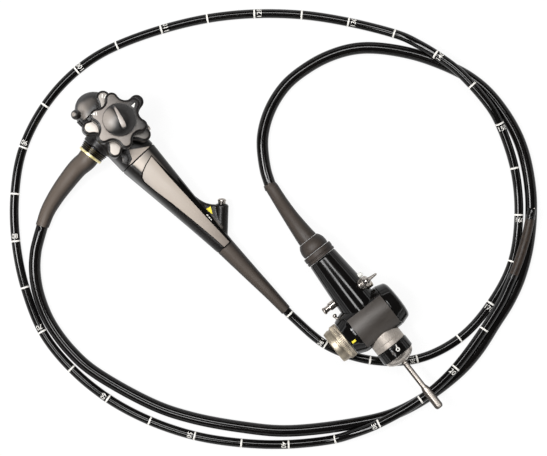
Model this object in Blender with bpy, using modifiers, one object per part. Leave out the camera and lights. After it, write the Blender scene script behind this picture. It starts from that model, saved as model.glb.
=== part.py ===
# Flexible endoscope, lying as it is put away: control section, insertion tube with its
# bending section and tip, universal cord and light-guide connector.
# Metres, +Z up. The origin is on the table, under the middle of the rigid pieces.

import math

import bmesh
import bpy
from mathutils import Matrix, Vector

MM = 0.001
CLEARANCE = 0.3 * MM
RUNNING_GAP = 0.8 * MM

# Where the layout's own centre lies from the origin, on the table
LAYOUT_X = 37.49 * MM
LAYOUT_Y = 23.18 * MM

# Control section: x runs along the body to the insertion tube, z along the knobs' axis
CONTROL_AT = (-168.75 * MM, 104.4 * MM, 25.1 * MM)
CONTROL_TURN = (math.radians(-12.0), math.radians(4.3), math.radians(-46.4))
BODY_SHIFT = -2.0 * MM
HEAD_HALF_WIDTH = 20.5 * MM
HEAD_HALF_HEIGHT = 21.0 * MM
HEAD_SQUARENESS = 4.0
DOME_START = -24.0 * MM
DOME_LENGTH = 21.5 * MM
DOME_SLIMMER = 1.1 * MM
DOME_SHIFT = 0.5 * MM
HEAD_TAPER_END = 8.0 * MM
HEAD_END = 42.0 * MM
GRIP_END = 171.0 * MM
GRIP_END_RADIUS = 10.2 * MM
SECTION_POINTS = 32

# Knob stack, all heights above the body's middle
KNOBS_AT = (2.3 * MM, 1.4 * MM, 0.0)
KNOB_SEAT_RADIUS = 16.0 * MM
KNOB_SEAT_TOP = HEAD_HALF_HEIGHT + 1.3 * MM
POST_RADIUS = 3.0 * MM
SHAFT_WALL = 1.7 * MM
LEVER_HUB_HEIGHT = 3.8 * MM
LEVER_HUB_RADIUS = 12.5 * MM
UD_WHEEL_HEIGHT = 13.6 * MM
UD_WHEEL_RADIUS = 36.3 * MM
UD_WHEEL_LOBES = 5
UD_SCALLOP_RADIUS = 14.0 * MM
UD_SCALLOP_AT = 36.0 * MM
RL_WHEEL_HEIGHT = 12.0 * MM
RL_WHEEL_RADIUS = 29.4 * MM
RL_WHEEL_LOBES = 6
RL_SCALLOP_RADIUS = 9.2 * MM
RL_SCALLOP_AT = 30.6 * MM
WHEEL_EDGE = 2.2 * MM
BRAKE_KNOB_RADIUS = 16.8 * MM
BRAKE_KNOB_HEIGHT = 9.5 * MM
BRAKE_RIB_HEIGHT = 3.4 * MM
UD_LOBE_ANGLE = math.radians(22.4)
RL_LOBE_ANGLE = math.radians(34.4)
BRAKE_BALL_RADIUS = 5.2 * MM
BRAKE_ARM_RADIUS = 1.9 * MM

# Drums of the angulation wires, inside the head
CHAMBER_WALL = 5.0 * MM
CHAMBER_RADIUS = 13.2 * MM
CHAMBER_FLOOR = CHAMBER_WALL - HEAD_HALF_HEIGHT
CHAMBER_CEILING = HEAD_HALF_HEIGHT - CHAMBER_WALL
DRUM_RADIUS = 11.2 * MM
DRUM_HEIGHT = 6.0 * MM
DRUM_GROOVE = 1.6 * MM
POST_FOOT_HEIGHT = 2.4 * MM
POST_FOOT_RADIUS = 8.0 * MM

# Suction and air/water valves, on the body's far side
VALVE_PLACES = {"suction_valve": 23.5 * MM, "air_water_valve": 5.6 * MM}
VALVE_HEIGHT_AT = 1.5 * MM
VALVE_SEAT_RADIUS = 7.5 * MM
VALVE_SEAT_LENGTH = 4.5 * MM
VALVE_STEM_RADIUS = 3.7 * MM
VALVE_TRAVEL = 2.6 * MM
VALVE_CAP_RADIUS = 5.6 * MM
VALVE_CAP_LENGTH = 3.0 * MM
VALVE_STEM_ENGAGED = 1.0 * MM

# Channel port
PORT_TOP = (137.1 * MM, 27.0 * MM, 7.0 * MM)
PORT_YAW = math.radians(136.4)
PORT_RISE = math.radians(14.0)
PORT_RADIUS = 7.2 * MM
PORT_LENGTH = 34.0 * MM
PORT_MOUTH_HEIGHT = 6.6 * MM
PORT_NECK_RADIUS = 3.0 * MM
PORT_FLANGE_RADIUS = 4.6 * MM
PORT_BORE_RADIUS = 1.6 * MM

# Outlet of the universal cord
OUTLET_YAW = math.radians(-81.3)
OUTLET_RISE = math.radians(-12.0)
OUTLET_BOSS_RADIUS = 15.4 * MM
OUTLET_BOSS_END = 26.6 * MM
OUTLET_COLLAR_END = 34.4 * MM
OUTLET_RING_WIDTH = 2.6 * MM
OUTLET_RING_RADIUS = 13.5 * MM
OUTLET_BOOT_RADIUS = 11.0 * MM

# Tubes
TUBE_RADIUS = 4.75 * MM
CORD_RADIUS = 6.25 * MM
INSERTION_BOOT_TIP_RADIUS = 5.5 * MM
CORD_BOOT_TIP_RADIUS = 6.9 * MM
STRAIGHT_STEP = 3.0 * MM
TUBE_SPACING = 26.0 * MM
CORD_SPACING = 29.0 * MM

# Bending section: links riveted to each other, on axes that alternate
BEND_START = (249.9 * MM, -52.3 * MM, 17.7 * MM)
BEND_HEADING = math.radians(67.0)
BEND_TURN = math.radians(1.6)
LINK_COUNT = 7
LINK_PITCH = 8.0 * MM
LINK_RADIUS = 4.2 * MM
LINK_WALL = 0.95 * MM
LINK_END_GAP = 1.95 * MM
EAR_RADIUS = 1.65 * MM
EAR_OUTER = (3.4 * MM, 4.15 * MM)
EAR_INNER = (2.35 * MM, 3.05 * MM)
RIVET_RADIUS = 0.7 * MM
BASE_LENGTH = 4.0 * MM
TIP_RADIUS = 4.7 * MM
TIP_LENGTH = 12.2 * MM

# Light-guide connector: x runs along its plug, z up
CONNECTOR_AT = (101.05 * MM, -95.0 * MM, 27.4 * MM)
CONNECTOR_TURN = (0.0, math.radians(-1.6), math.radians(-51.8))
BARREL_RADIUS = 24.4 * MM
BARREL_LEFT = -20.9 * MM
BARREL_RIGHT = 22.9 * MM
CAP_END = 36.4 * MM
CAP_END_RADIUS = 22.2 * MM
SOCKET_COLLAR_END = -32.0 * MM
SOCKET_RING_END = -49.0 * MM
SOCKET_START_RADIUS = 20.3 * MM
SOCKET_END_RADIUS = 17.7 * MM
PLATE_THICKNESS = 0.6 * MM
PLATE_FROM_X = -15.0 * MM
PLATE_TO_X = 20.0 * MM
SLEEVE_START = -81.5 * MM
SLEEVE_START_RADIUS = 16.0 * MM
SLEEVE_END_RADIUS = 20.4 * MM
LOCK_RING_START = -91.0 * MM
LOCK_RING_RADIUS = 16.7 * MM
BOOT_COLLAR_START = -105.0 * MM
CONNECTOR_BOOT_RADIUS = 10.9 * MM
GUIDE_COLLAR_RADIUS = 17.4 * MM
GUIDE_COLLAR_END = 34.0 * MM
GUIDE_RING_RADIUS = 18.3 * MM
GUIDE_RING_END = 46.5 * MM
GUIDE_CONE_END = 56.0 * MM
GUIDE_ROD_END = 116.4 * MM
GUIDE_ROD_RADIUS = 2.9 * MM
GUIDE_ROD_WIDE_RADIUS = 4.55 * MM
GUIDE_ROD_STEP = 88.0 * MM
GUIDE_WINDOW_RADIUS = 2.4 * MM
AIR_PIPE_X = -34.8 * MM
AIR_PIPE_RISE = math.radians(41.0)
SPIGOT_X = -36.2 * MM
NUT_X = -30.2 * MM
VENT_X = -43.2 * MM
STUD_Y = -27.2 * MM

# Routes as chosen, in the layout's own coordinates: x, y and the lift above resting on
# the table. The insertion tube runs from its boot, the universal cord from its own.
INSERTION_ROUTE = (
    (0.0216, -0.0952, 0.0002), (0.0576, -0.1247, 0.0), (0.1058, -0.1400, 0.0),
    (0.1547, -0.1376, 0.0), (0.1976, -0.1157, 0.0), (0.2288, -0.0812, 0.0),
    (0.2515, -0.0383, 0.0), (0.2591, 0.0095, 0.0), (0.2554, 0.0586, 0.0012),
    (0.2400, 0.1046, 0.0068), (0.2276, 0.1264, 0.0110), (0.1948, 0.1632, 0.0129),
    (0.1747, 0.1787, 0.0128), (0.1539, 0.1923, 0.0083), (0.1308, 0.2041, 0.0017),
    (0.0301, 0.2251, 0.0), (-0.0692, 0.2214, 0.0), (-0.1685, 0.1913, 0.0),
    (-0.2108, 0.1638, 0.0), (-0.2433, 0.1267, 0.0), (-0.2654, 0.0817, 0.0),
    (-0.2735, 0.0323, 0.0), (-0.2718, -0.0172, 0.0), (-0.2615, -0.0660, 0.0),
    (-0.2426, -0.1120, 0.0), (-0.2114, -0.1504, 0.0), (-0.1731, -0.1812, 0.0),
    (-0.1302, -0.2038, 0.0), (-0.0834, -0.2194, 0.0), (-0.0351, -0.2270, 0.0),
    (0.0139, -0.2286, 0.0), (0.0630, -0.2232, 0.0009), (0.0846, -0.2159, 0.0079),
    (0.1094, -0.2054, 0.0128), (0.1526, -0.1806, 0.0129), (0.1893, -0.1480, 0.0129),
    (0.2367, -0.0805, 0.0129),
)
CORD_ROUTE = (
    (-0.2484, -0.0132, 0.0), (-0.2510, -0.0247, 0.0), (-0.2521, -0.0436, 0.0),
    (-0.2490, -0.0662, 0.0), (-0.2407, -0.0903, 0.0), (-0.2311, -0.1077, 0.0),
    (-0.2143, -0.1293, 0.0), (-0.1918, -0.1499, 0.0), (-0.1272, -0.1864, 0.0),
    (-0.0871, -0.2000, 0.0), (-0.0333, -0.2101, 0.0), (0.0143, -0.2142, 0.0),
    (0.0913, -0.2054, 0.0), (0.1280, -0.1958, 0.0), (0.1631, -0.1771, 0.0),
    (0.1974, -0.1501, 0.0), (0.2157, -0.1292, 0.0), (0.2340, -0.1007, 0.0),
    (0.2480, -0.0785, 0.0), (0.2598, -0.0526, 0.0), (0.2689, -0.0169, 0.0),
    (0.2720, 0.0270, 0.0), (0.2669, 0.0673, 0.0), (0.2584, 0.0944, 0.0),
    (0.2444, 0.1199, 0.0), (0.2257, 0.1433, 0.0), (0.2074, 0.1583, 0.0),
    (0.1884, 0.1687, 0.0), (0.1504, 0.1828, 0.0), (0.1103, 0.1898, 0.0),
    (0.0860, 0.1892, 0.0), (0.0615, 0.1826, 0.0), (0.0374, 0.1703, 0.0),
    (0.0131, 0.1508, 0.0), (-0.0039, 0.1241, 0.0), (-0.0115, 0.0950, 0.0),
    (-0.0088, 0.0630, 0.0),
)
# The boots' middle lines between their fixed ends: x, y, height and radius
CORD_BOOT_ROUTE = (
    (-0.2043, 0.0630, 0.0211, 0.0103), (-0.2192, 0.0455, 0.0163, 0.0095),
    (-0.2294, 0.0318, 0.0121, 0.0086), (-0.2380, 0.0176, 0.0088, 0.0077),
)
CORD_BOOT_TIP = (-0.24385, 0.0022, 0.0072)
CONNECTOR_BOOT_TIP = (-0.0037, 0.0458, 0.0071)
INSERTION_BOOT_TIP = (0.0131, -0.0867, 0.0058)


def clear_scene():
    for old in list(bpy.data.objects):
        bpy.data.objects.remove(old, do_unlink=True)


def collection(name):
    made = bpy.data.collections.new(name)
    bpy.context.scene.collection.children.link(made)
    return made


clear_scene()
parts = collection("flexible_endoscope")
cutters = collection("cutters")


def material(name, colour, roughness, metallic=0.0):
    made = bpy.data.materials.new(name)
    made.use_nodes = True
    shader = made.node_tree.nodes["Principled BSDF"]
    shader.inputs["Base Color"].default_value = (*colour, 1.0)
    shader.inputs["Roughness"].default_value = roughness
    shader.inputs["Metallic"].default_value = metallic
    return made


satin_plastic = material("satin_plastic", (0.055, 0.050, 0.048), 0.38)
pale_plastic = material("pale_plastic", (0.30, 0.27, 0.25), 0.40)
gloss_black = material("gloss_black", (0.008, 0.008, 0.008), 0.12)
boot_rubber = material("boot_rubber", (0.09, 0.08, 0.07), 0.62)
polished_steel = material("polished_steel", (0.62, 0.60, 0.58), 0.18, 1.0)
brushed_metal = material("brushed_metal", (0.60, 0.57, 0.54), 0.34, 1.0)
gilt_metal = material("gilt_metal", (0.83, 0.68, 0.26), 0.28, 1.0)
plate_grey = material("plate_grey", (0.10, 0.09, 0.085), 0.42)
clear_nylon = material("clear_nylon", (0.80, 0.80, 0.78), 0.25)
lens_glass = material("lens_glass", (0.75, 0.80, 0.82), 0.03)


def frame(name, location, turn, parent=None):
    made = bpy.data.objects.new(name, None)
    parts.objects.link(made)
    made.parent = parent
    made.location = location
    made.rotation_euler = turn
    return made


def on_layout(x, y, z):
    return (x + LAYOUT_X, y + LAYOUT_Y, z)


def matrix_of(location, turn):
    turned_by = Matrix.Rotation(turn[2], 4, "Z") @ Matrix.Rotation(turn[1], 4, "Y")
    return Matrix.Translation(location) @ turned_by @ Matrix.Rotation(turn[0], 4, "X")


control = frame("control_frame", on_layout(*CONTROL_AT), CONTROL_TURN)
connector = frame("connector_frame", on_layout(*CONNECTOR_AT), CONNECTOR_TURN)
knobs = frame("knobs_frame", KNOBS_AT, (0, 0, 0), control)
control_matrix = matrix_of(on_layout(*CONTROL_AT), CONTROL_TURN)
connector_matrix = matrix_of(on_layout(*CONNECTOR_AT), CONNECTOR_TURN)

# Turns that lay a turned piece's own z along another way
ALONG_X = (0.0, math.pi / 2, 0.0)
ALONG_Y = (-math.pi / 2, 0.0, 0.0)
AGAINST_Y = (math.pi / 2, 0.0, 0.0)
AGAINST_X = (0.0, -math.pi / 2, 0.0)


def add(name, data, finish, parent=None, location=(0, 0, 0), turn=(0, 0, 0)):
    made = bpy.data.objects.new(name, data)
    parts.objects.link(made)
    made.parent = parent
    made.location = location
    made.rotation_euler = turn
    if finish:
        data.materials.append(finish)
    return made


def as_cutter(made):
    parts.objects.unlink(made)
    cutters.objects.link(made)
    made.hide_render = True
    made.display_type = "WIRE"
    return made


def boolean(target, other, operation):
    step = target.modifiers.new(operation.lower(), "BOOLEAN")
    step.operation = operation
    step.object = as_cutter(other)
    return target


def cut(target, other):
    return boolean(target, other, "DIFFERENCE")


def join(target, other):
    return boolean(target, other, "UNION")


def keep_inside(target, other):
    return boolean(target, other, "INTERSECT")


def smooth(mesh):
    mesh.shade_smooth()
    mesh.set_sharp_from_angle(angle=math.radians(35))
    return mesh


def mesh_from(name, vertices, faces):
    mesh = bpy.data.meshes.new(name)
    mesh.from_pydata([tuple(v) for v in vertices], [], faces)
    mesh.update()
    shape = bmesh.new()
    shape.from_mesh(mesh)
    bmesh.ops.recalc_face_normals(shape, faces=shape.faces)
    shape.to_mesh(mesh)
    shape.free()
    return smooth(mesh)


def turned(name, profile, finish, parent, location=(0, 0, 0), turn=(0, 0, 0), steps=24, hollow=False):
    """A profile of (height, radius), from its top down the outside, spun about z."""
    mesh = bpy.data.meshes.new(name)
    points = [(radius, 0.0, height) for height, radius in profile]
    edges = [(i, i + 1) for i in range(len(points) - 1)]
    if hollow:
        edges.append((len(points) - 1, 0))
    mesh.from_pydata(points, edges, [])
    made = add(name, mesh, finish, parent, location, turn)
    spin = made.modifiers.new("spin", "SCREW")
    spin.axis = "Z"
    spin.steps = steps
    spin.render_steps = steps
    spin.use_merge_vertices = True
    spin.merge_threshold = 1e-6
    spin.use_smooth_shade = False
    return made


def prism(name, outline, low, high, finish, parent, location=(0, 0, 0), turn=(0, 0, 0), edge=0.0, segments=2):
    """A flat outline filled and stood up between two heights, its rims rounded."""
    curve = bpy.data.curves.new(name, "CURVE")
    curve.dimensions = "2D"
    curve.fill_mode = "BOTH"
    curve.extrude = (high - low) / 2
    line = curve.splines.new("POLY")
    line.points.add(len(outline) - 1)
    for point, (x, y) in zip(line.points, outline):
        point.co = (x, y, 0.0, 1.0)
    line.use_cyclic_u = True
    made = meshed(add(name, curve, finish, parent, location, turn))
    made.data.transform(Matrix.Translation((0, 0, (low + high) / 2)))
    smooth(made.data)
    if edge:
        rounding = made.modifiers.new("edge", "BEVEL")
        rounding.width = edge
        rounding.segments = segments
        rounding.limit_method = "ANGLE"
        rounding.angle_limit = math.radians(60)
    return made


def loft(name, sections, finish, parent):
    """A closed skin through sections of equal point counts."""
    count = len(sections[0])
    vertices = [point for section in sections for point in section]
    faces = [list(range(count)), list(range(len(vertices) - count, len(vertices)))]
    for s in range(len(sections) - 1):
        for i in range(count):
            j = (i + 1) % count
            a = s * count
            faces.append([a + i, a + j, a + count + j, a + count + i])
    return add(name, mesh_from(name, vertices, faces), finish, parent)


def ball(name, radius, finish, parent, location):
    mesh = bpy.data.meshes.new(name)
    shape = bmesh.new()
    bmesh.ops.create_uvsphere(shape, u_segments=16, v_segments=10, radius=radius)
    shape.to_mesh(mesh)
    shape.free()
    return add(name, smooth(mesh), finish, parent, location)


def smooth_points(route, spacing):
    """Evenly spaced points on the centripetal curve through a route."""
    route = [Vector(p) for p in route]
    route = [2 * route[0] - route[1], *route, 2 * route[-1] - route[-2]]
    fine = []
    fine_steps = 24
    for i in range(1, len(route) - 2):
        p = route[i - 1 : i + 3]
        t = [0.0]
        for a, b in zip(p, p[1:]):
            t.append(t[-1] + (b - a).length ** 0.5)
        for k in range(fine_steps):
            u = t[1] + (t[2] - t[1]) * k / fine_steps
            level = list(p)
            for span in (1, 2, 3):
                nearby = []
                for m in range(len(level) - 1):
                    low, high = (m, m + span) if span < 3 else (1, 2)
                    if span == 2:
                        low, high = m, m + 2
                    share = (u - t[low]) / (t[high] - t[low])
                    nearby.append(level[m].lerp(level[m + 1], share))
                level = nearby
            fine.append(level[0])
    fine.append(route[-2])
    lengths = [0.0]
    for a, b in zip(fine, fine[1:]):
        lengths.append(lengths[-1] + (b - a).length)
    count = max(2, round(lengths[-1] / spacing))
    picked = []
    at = 0
    for k in range(count + 1):
        want = lengths[-1] * k / count
        while at < len(fine) - 2 and lengths[at + 1] < want:
            at += 1
        share = (want - lengths[at]) / (lengths[at + 1] - lengths[at])
        picked.append(fine[at].lerp(fine[at + 1], share))
    return picked


def tube(name, points, radii, finish, sides=2, parent=None):
    """A round bar along points; radii is one radius, or one for each point."""
    curve = bpy.data.curves.new(name, "CURVE")
    curve.dimensions = "3D"
    line = curve.splines.new("POLY")
    line.points.add(len(points) - 1)
    single = not hasattr(radii, "__len__")
    largest = radii if single else max(radii)
    for i, point in enumerate(points):
        line.points[i].co = (*point, 1.0)
        line.points[i].radius = 1.0 if single else radii[i] / largest
    curve.bevel_depth = largest
    curve.bevel_resolution = sides
    curve.use_fill_caps = True
    return add(name, curve, finish, parent)


def meshed(made):
    """The same piece as a closed mesh, so that a Boolean can use it."""
    bpy.context.view_layer.update()
    graph = bpy.context.evaluated_depsgraph_get()
    mesh = bpy.data.meshes.new_from_object(made.evaluated_get(graph))
    shape = bmesh.new()
    shape.from_mesh(mesh)
    bmesh.ops.remove_doubles(shape, verts=shape.verts, dist=1e-6)
    bmesh.ops.recalc_face_normals(shape, faces=shape.faces)
    shape.to_mesh(mesh)
    shape.free()
    name, parent, place = made.name, made.parent, made.matrix_world.copy()
    bpy.data.objects.remove(made)
    solid = bpy.data.objects.new(name, mesh)
    parts.objects.link(solid)
    solid.parent = parent
    solid.matrix_world = place
    return solid


def along(table, x):
    """The value at x of a table of (x, value) pairs, straight between them."""
    for (x0, v0), (x1, v1) in zip(table, table[1:]):
        if x <= x1:
            return v0 + (v1 - v0) * max(0.0, x - x0) / (x1 - x0)
    return table[-1][1]


def body_section(x, half_width, half_height, squareness, middle, grow=0.0):
    points = []
    for k in range(SECTION_POINTS):
        angle = 2 * math.pi * k / SECTION_POINTS
        c, s = math.cos(angle), math.sin(angle)
        y = (half_width + grow) * math.copysign(abs(c) ** (2 / squareness), c)
        z = (half_height + grow) * math.copysign(abs(s) ** (2 / squareness), s)
        points.append(Vector((x, middle + y, z)))
    return points


HALF_WIDTHS = (
    (HEAD_END, HEAD_HALF_WIDTH), (75 * MM, 17.6 * MM), (111 * MM, 14.5 * MM),
    (142 * MM, 12.2 * MM), (GRIP_END, GRIP_END_RADIUS),
)
HALF_HEIGHTS = (
    (HEAD_END, HEAD_HALF_HEIGHT), (75 * MM, 17.8 * MM), (111 * MM, 14.4 * MM),
    (142 * MM, 12.0 * MM), (GRIP_END, GRIP_END_RADIUS),
)
SQUARENESS = ((HEAD_END, HEAD_SQUARENESS), (100 * MM, 3.0), (GRIP_END, 2.05))
MIDDLES = ((HEAD_END, BODY_SHIFT), (110 * MM, -1.1 * MM), (GRIP_END, 0.0))
GRIP_STATIONS = (42, 58, 75, 93, 111, 126, 142, 157, 171)


def head_section(x, grow=0.0):
    share = min(1.0, max(0.0, (HEAD_TAPER_END - x) / (HEAD_TAPER_END - DOME_START)))
    half_width = HEAD_HALF_WIDTH - DOME_SLIMMER * share
    return body_section(x, half_width, HEAD_HALF_HEIGHT, HEAD_SQUARENESS, BODY_SHIFT + DOME_SHIFT * share, grow)


def grip_section(x, grow=0.0):
    return body_section(
        x, along(HALF_WIDTHS, x), along(HALF_HEIGHTS, x), along(SQUARENESS, x), along(MIDDLES, x), grow
    )


def grip_body(name, start, end, grow, finish):
    stations = [start] + [s * MM for s in GRIP_STATIONS if start < s * MM < end] + [end]
    return loft(name, [grip_section(x, grow) for x in stations], finish, control)


def rod_cutter(name, radius, low, high, parent, location, turn, steps=24):
    """A plain round bar between two heights."""
    mesh = bpy.data.meshes.new(name)
    shape = bmesh.new()
    bmesh.ops.create_cone(shape, cap_ends=True, segments=steps, radius1=radius, radius2=radius, depth=high - low)
    bmesh.ops.translate(shape, verts=shape.verts, vec=(0, 0, (low + high) / 2))
    shape.to_mesh(mesh)
    shape.free()
    return add(name, smooth(mesh), None, parent, location, turn)


def make_head():
    outlet_turn = outlet_rotation()
    housing = loft(
        "control_housing",
        [head_section(x) for x in (DOME_START + CLEARANCE, HEAD_TAPER_END, HEAD_END - CLEARANCE)],
        satin_plastic, control,
    )
    seat = [(KNOB_SEAT_TOP, 0.0), (KNOB_SEAT_TOP, KNOB_SEAT_RADIUS - 1 * MM),
            (KNOB_SEAT_TOP - 1 * MM, KNOB_SEAT_RADIUS), (18 * MM, KNOB_SEAT_RADIUS), (18 * MM, 0.0)]
    join(housing, turned("knob_seat", seat, None, knobs))
    boss = rod_cutter("outlet_boss", OUTLET_BOSS_RADIUS, 8 * MM, OUTLET_BOSS_END, control, (0, 0, 0), outlet_turn, 28)
    join(housing, boss)
    shaft_hole = shaft_radii()["ud"][1] + CLEARANCE
    chamber = [(KNOB_SEAT_TOP + 2 * MM, 0.0), (KNOB_SEAT_TOP + 2 * MM, shaft_hole),
               (CHAMBER_CEILING, shaft_hole), (CHAMBER_CEILING, CHAMBER_RADIUS),
               (CHAMBER_FLOOR, CHAMBER_RADIUS), (CHAMBER_FLOOR, 0.0)]
    cut(housing, turned("wire_chamber", chamber, None, knobs))

    row_count = 6
    sections = []
    for k in range(row_count + 1):
        angle = math.radians(83) * k / row_count
        share = math.cos(angle)
        x = DOME_START - DOME_LENGTH * math.sin(angle)
        sections.append(body_section(x, (HEAD_HALF_WIDTH - DOME_SLIMMER) * share, HEAD_HALF_HEIGHT * share,
                                     2.3 + 1.7 * share ** 3, BODY_SHIFT + DOME_SHIFT))
    loft("head_end_cap", sections[::-1], satin_plastic, control)

    outline = [(25 * MM, -5.5 * MM), (30.2 * MM, -6.8 * MM), (39.0 * MM, -11.0 * MM),
               (HEAD_END - CLEARANCE, -19.0 * MM), (HEAD_END - CLEARANCE, 14.5 * MM), (25 * MM, 14.5 * MM)]
    cover = prism("head_cover", outline, 10 * MM, 30 * MM, pale_plastic, control)
    lift = 1.1 * MM
    stretch = (20 * MM, 50 * MM)
    keep_inside(cover, loft("cover_top", [head_section(x, lift) for x in stretch], None, control))
    cut(cover, loft("cover_under", [head_section(x, CLEARANCE) for x in stretch], None, control))

    lug = [(31.0 * MM, -11.5 * MM), (36.8 * MM, -14.3 * MM), (38.9 * MM, -18.5 * MM),
           (34.5 * MM, -20.1 * MM), (31.0 * MM, -18.0 * MM)]
    base = HEAD_HALF_HEIGHT * 0.84
    stop = prism("lever_stop", lug, base, HEAD_HALF_HEIGHT + 2.2 * MM, satin_plastic, control)
    cut(stop, loft("stop_under", [head_section(x, CLEARANCE) for x in stretch], None, control))


def make_grip():
    grip = grip_body("grip_shell", HEAD_END, GRIP_END, 0.0, satin_plastic)
    top = Vector(PORT_TOP)
    turn = (0.0, math.pi / 2 - PORT_RISE, PORT_YAW)
    rim = 0.9 * MM
    port = [(0.0, 0.0), (0.0, PORT_RADIUS - rim), (-rim, PORT_RADIUS), (-PORT_LENGTH, PORT_RADIUS), (-PORT_LENGTH, 0.0)]
    join(grip, turned("port_block", port, None, control, top, turn, 28))
    web = [(108, 8), (112, 13.2), (118, 14.2), (124, 16.2), (129, 19.4), (133, 23.2), (140, 24), (158, 8), (150, 4)]
    web = [(x * MM, y * MM) for x, y in web]
    join(grip, prism("port_web", web[::-1], -3.5 * MM, 8.5 * MM, None, control, edge=2.5 * MM))
    bore = PORT_NECK_RADIUS + CLEARANCE
    cut(grip, rod_cutter("mouth_bore", bore, -3 * MM, 1 * MM, control, top, turn, 16))

    mouth_turn = turn
    flange = PORT_MOUTH_HEIGHT
    mouth = [(flange, PORT_BORE_RADIUS), (flange, PORT_FLANGE_RADIUS - 0.5 * MM), (flange - 0.5 * MM, PORT_FLANGE_RADIUS),
             (flange - 2.2 * MM, PORT_FLANGE_RADIUS), (flange - 3 * MM, PORT_NECK_RADIUS),
             (-2.7 * MM, PORT_NECK_RADIUS), (-2.7 * MM, 0.0), (-1.5 * MM, 0.0), (-1.5 * MM, PORT_BORE_RADIUS)]
    turned("channel_port_mouth", mouth, polished_steel, control, top, mouth_turn, 20, hollow=True)

    outline = [(49, 11.5), (51, 4), (53.5, -5), (56.5, -12), (60, -16), (64, -17.3), (78, -15.7), (100, -11.8),
               (134, -7), (157, -4.2), (170.4, -3.2), (170.4, 6.0), (166, 6.3), (134, 8.6), (114, 9.2), (83, 10.6), (62, 11.6)]
    outline = [(x * MM, y * MM) for x, y in outline]
    panel = prism("grip_panel", outline, 2 * MM, 30 * MM, pale_plastic, control)
    crown = []
    for x in (40 * MM, 58 * MM, 75 * MM, 93 * MM, 111 * MM, 126 * MM, 142 * MM, 157 * MM, 175 * MM):
        level = along(HALF_HEIGHTS, x) + 0.9 * MM
        ridge = 4.2 * MM
        crown.append([Vector((x, y, z)) for y, z in (
            (-24 * MM, 0.0), (14 * MM, 0.0), (14 * MM, level - 3.6 * MM), (ridge + 3 * MM, level - 1.3 * MM),
            (ridge, level), (-9 * MM, level), (-24 * MM, level - 2.2 * MM))])
    keep_inside(panel, loft("panel_top", crown, None, control))
    cut(panel, grip_body("panel_under", 40 * MM, 175 * MM, CLEARANCE, None))


def outlet_rotation():
    return (0.0, math.pi / 2 - OUTLET_RISE, OUTLET_YAW)


def outlet_point(distance):
    turn = outlet_rotation()
    way = Matrix.Rotation(turn[2], 3, "Z") @ Matrix.Rotation(turn[1], 3, "Y") @ Vector((0, 0, 1))
    return control_matrix @ (way * distance)


def make_outlet():
    turn = outlet_rotation()
    start = OUTLET_BOSS_END + CLEARANCE
    rib_count = 3
    rib = (OUTLET_COLLAR_END - start) / (rib_count * 2)
    profile = [(OUTLET_COLLAR_END, 0.0)]
    for k in range(rib_count):
        radius = OUTLET_RING_RADIUS - 0.3 * MM + k * 0.65 * MM
        low = OUTLET_COLLAR_END - (2 * k + 1) * rib
        profile += [(low + rib, radius), (low + 0.2 * rib, radius), (low, radius - 0.8 * MM),
                    (low - 0.8 * rib, radius - 0.8 * MM)]
    profile += [(start + 0.1 * rib, OUTLET_BOSS_RADIUS), (start, OUTLET_BOSS_RADIUS), (start, 0.0)]
    turned("outlet_collar", profile, satin_plastic, control, turn=turn, steps=20)

    low = OUTLET_COLLAR_END + CLEARANCE
    high = low + OUTLET_RING_WIDTH
    soft = 0.5 * MM
    ring = [(high, 0.0), (high, OUTLET_RING_RADIUS - soft), (high - soft, OUTLET_RING_RADIUS),
            (low + soft, OUTLET_RING_RADIUS), (low, OUTLET_RING_RADIUS - soft), (low, 0.0)]
    turned("outlet_ring", ring, gilt_metal, control, turn=turn, steps=28)

    first = outlet_point(high + CLEARANCE)
    second = outlet_point(high + 6 * MM)
    route = [(*first, OUTLET_BOOT_RADIUS), (*second, OUTLET_BOOT_RADIUS - 0.2 * MM)]
    route += [(*on_layout(x, y, z), r) for x, y, z, r in CORD_BOOT_ROUTE]
    route.append((*on_layout(*CORD_BOOT_TIP), CORD_BOOT_TIP_RADIUS))
    tapered_tube("universal_cord_boot", route, 9 * MM, leaving_boots()[1])


def tapered_tube(name, route, spacing, leaving):
    """A boot through points of (x, y, z, radius), square to its first step and to leaving."""
    points = smooth_points([p[:3] for p in route], spacing)
    square_ends(points, Vector(route[1][:3]) - Vector(route[0][:3]), leaving)
    lengths = running_lengths(points)
    stations = running_lengths([Vector(p[:3]) for p in route])
    table = [(d / stations[-1], p[3]) for d, p in zip(stations, route)]
    radii = [along(table, d / lengths[-1]) for d in lengths]
    return tube(name, points, radii, boot_rubber, 5)


def running_lengths(points):
    lengths = [0.0]
    for a, b in zip(points, points[1:]):
        lengths.append(lengths[-1] + (b - a).length)
    return lengths


def square_ends(points, arriving, leaving):
    """Short straight steps, so that the end faces stand square to these ways."""
    points.insert(1, points[0] + arriving.normalized() * STRAIGHT_STEP)
    points.insert(-1, points[-1] - leaving.normalized() * STRAIGHT_STEP)


def leaving_boots():
    """The way each tube runs as it leaves its boot."""
    insertion = Vector(on_layout(*INSERTION_ROUTE[0])) + Vector((0, 0, TUBE_RADIUS)) - Vector(on_layout(*INSERTION_BOOT_TIP))
    cord = Vector(on_layout(*CORD_ROUTE[0])) + Vector((0, 0, CORD_RADIUS)) - Vector(on_layout(*CORD_BOOT_TIP))
    far = Vector(on_layout(*CORD_ROUTE[-1])) + Vector((0, 0, CORD_RADIUS)) - Vector(on_layout(*CONNECTOR_BOOT_TIP))
    return insertion.normalized(), cord.normalized(), far.normalized()


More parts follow.
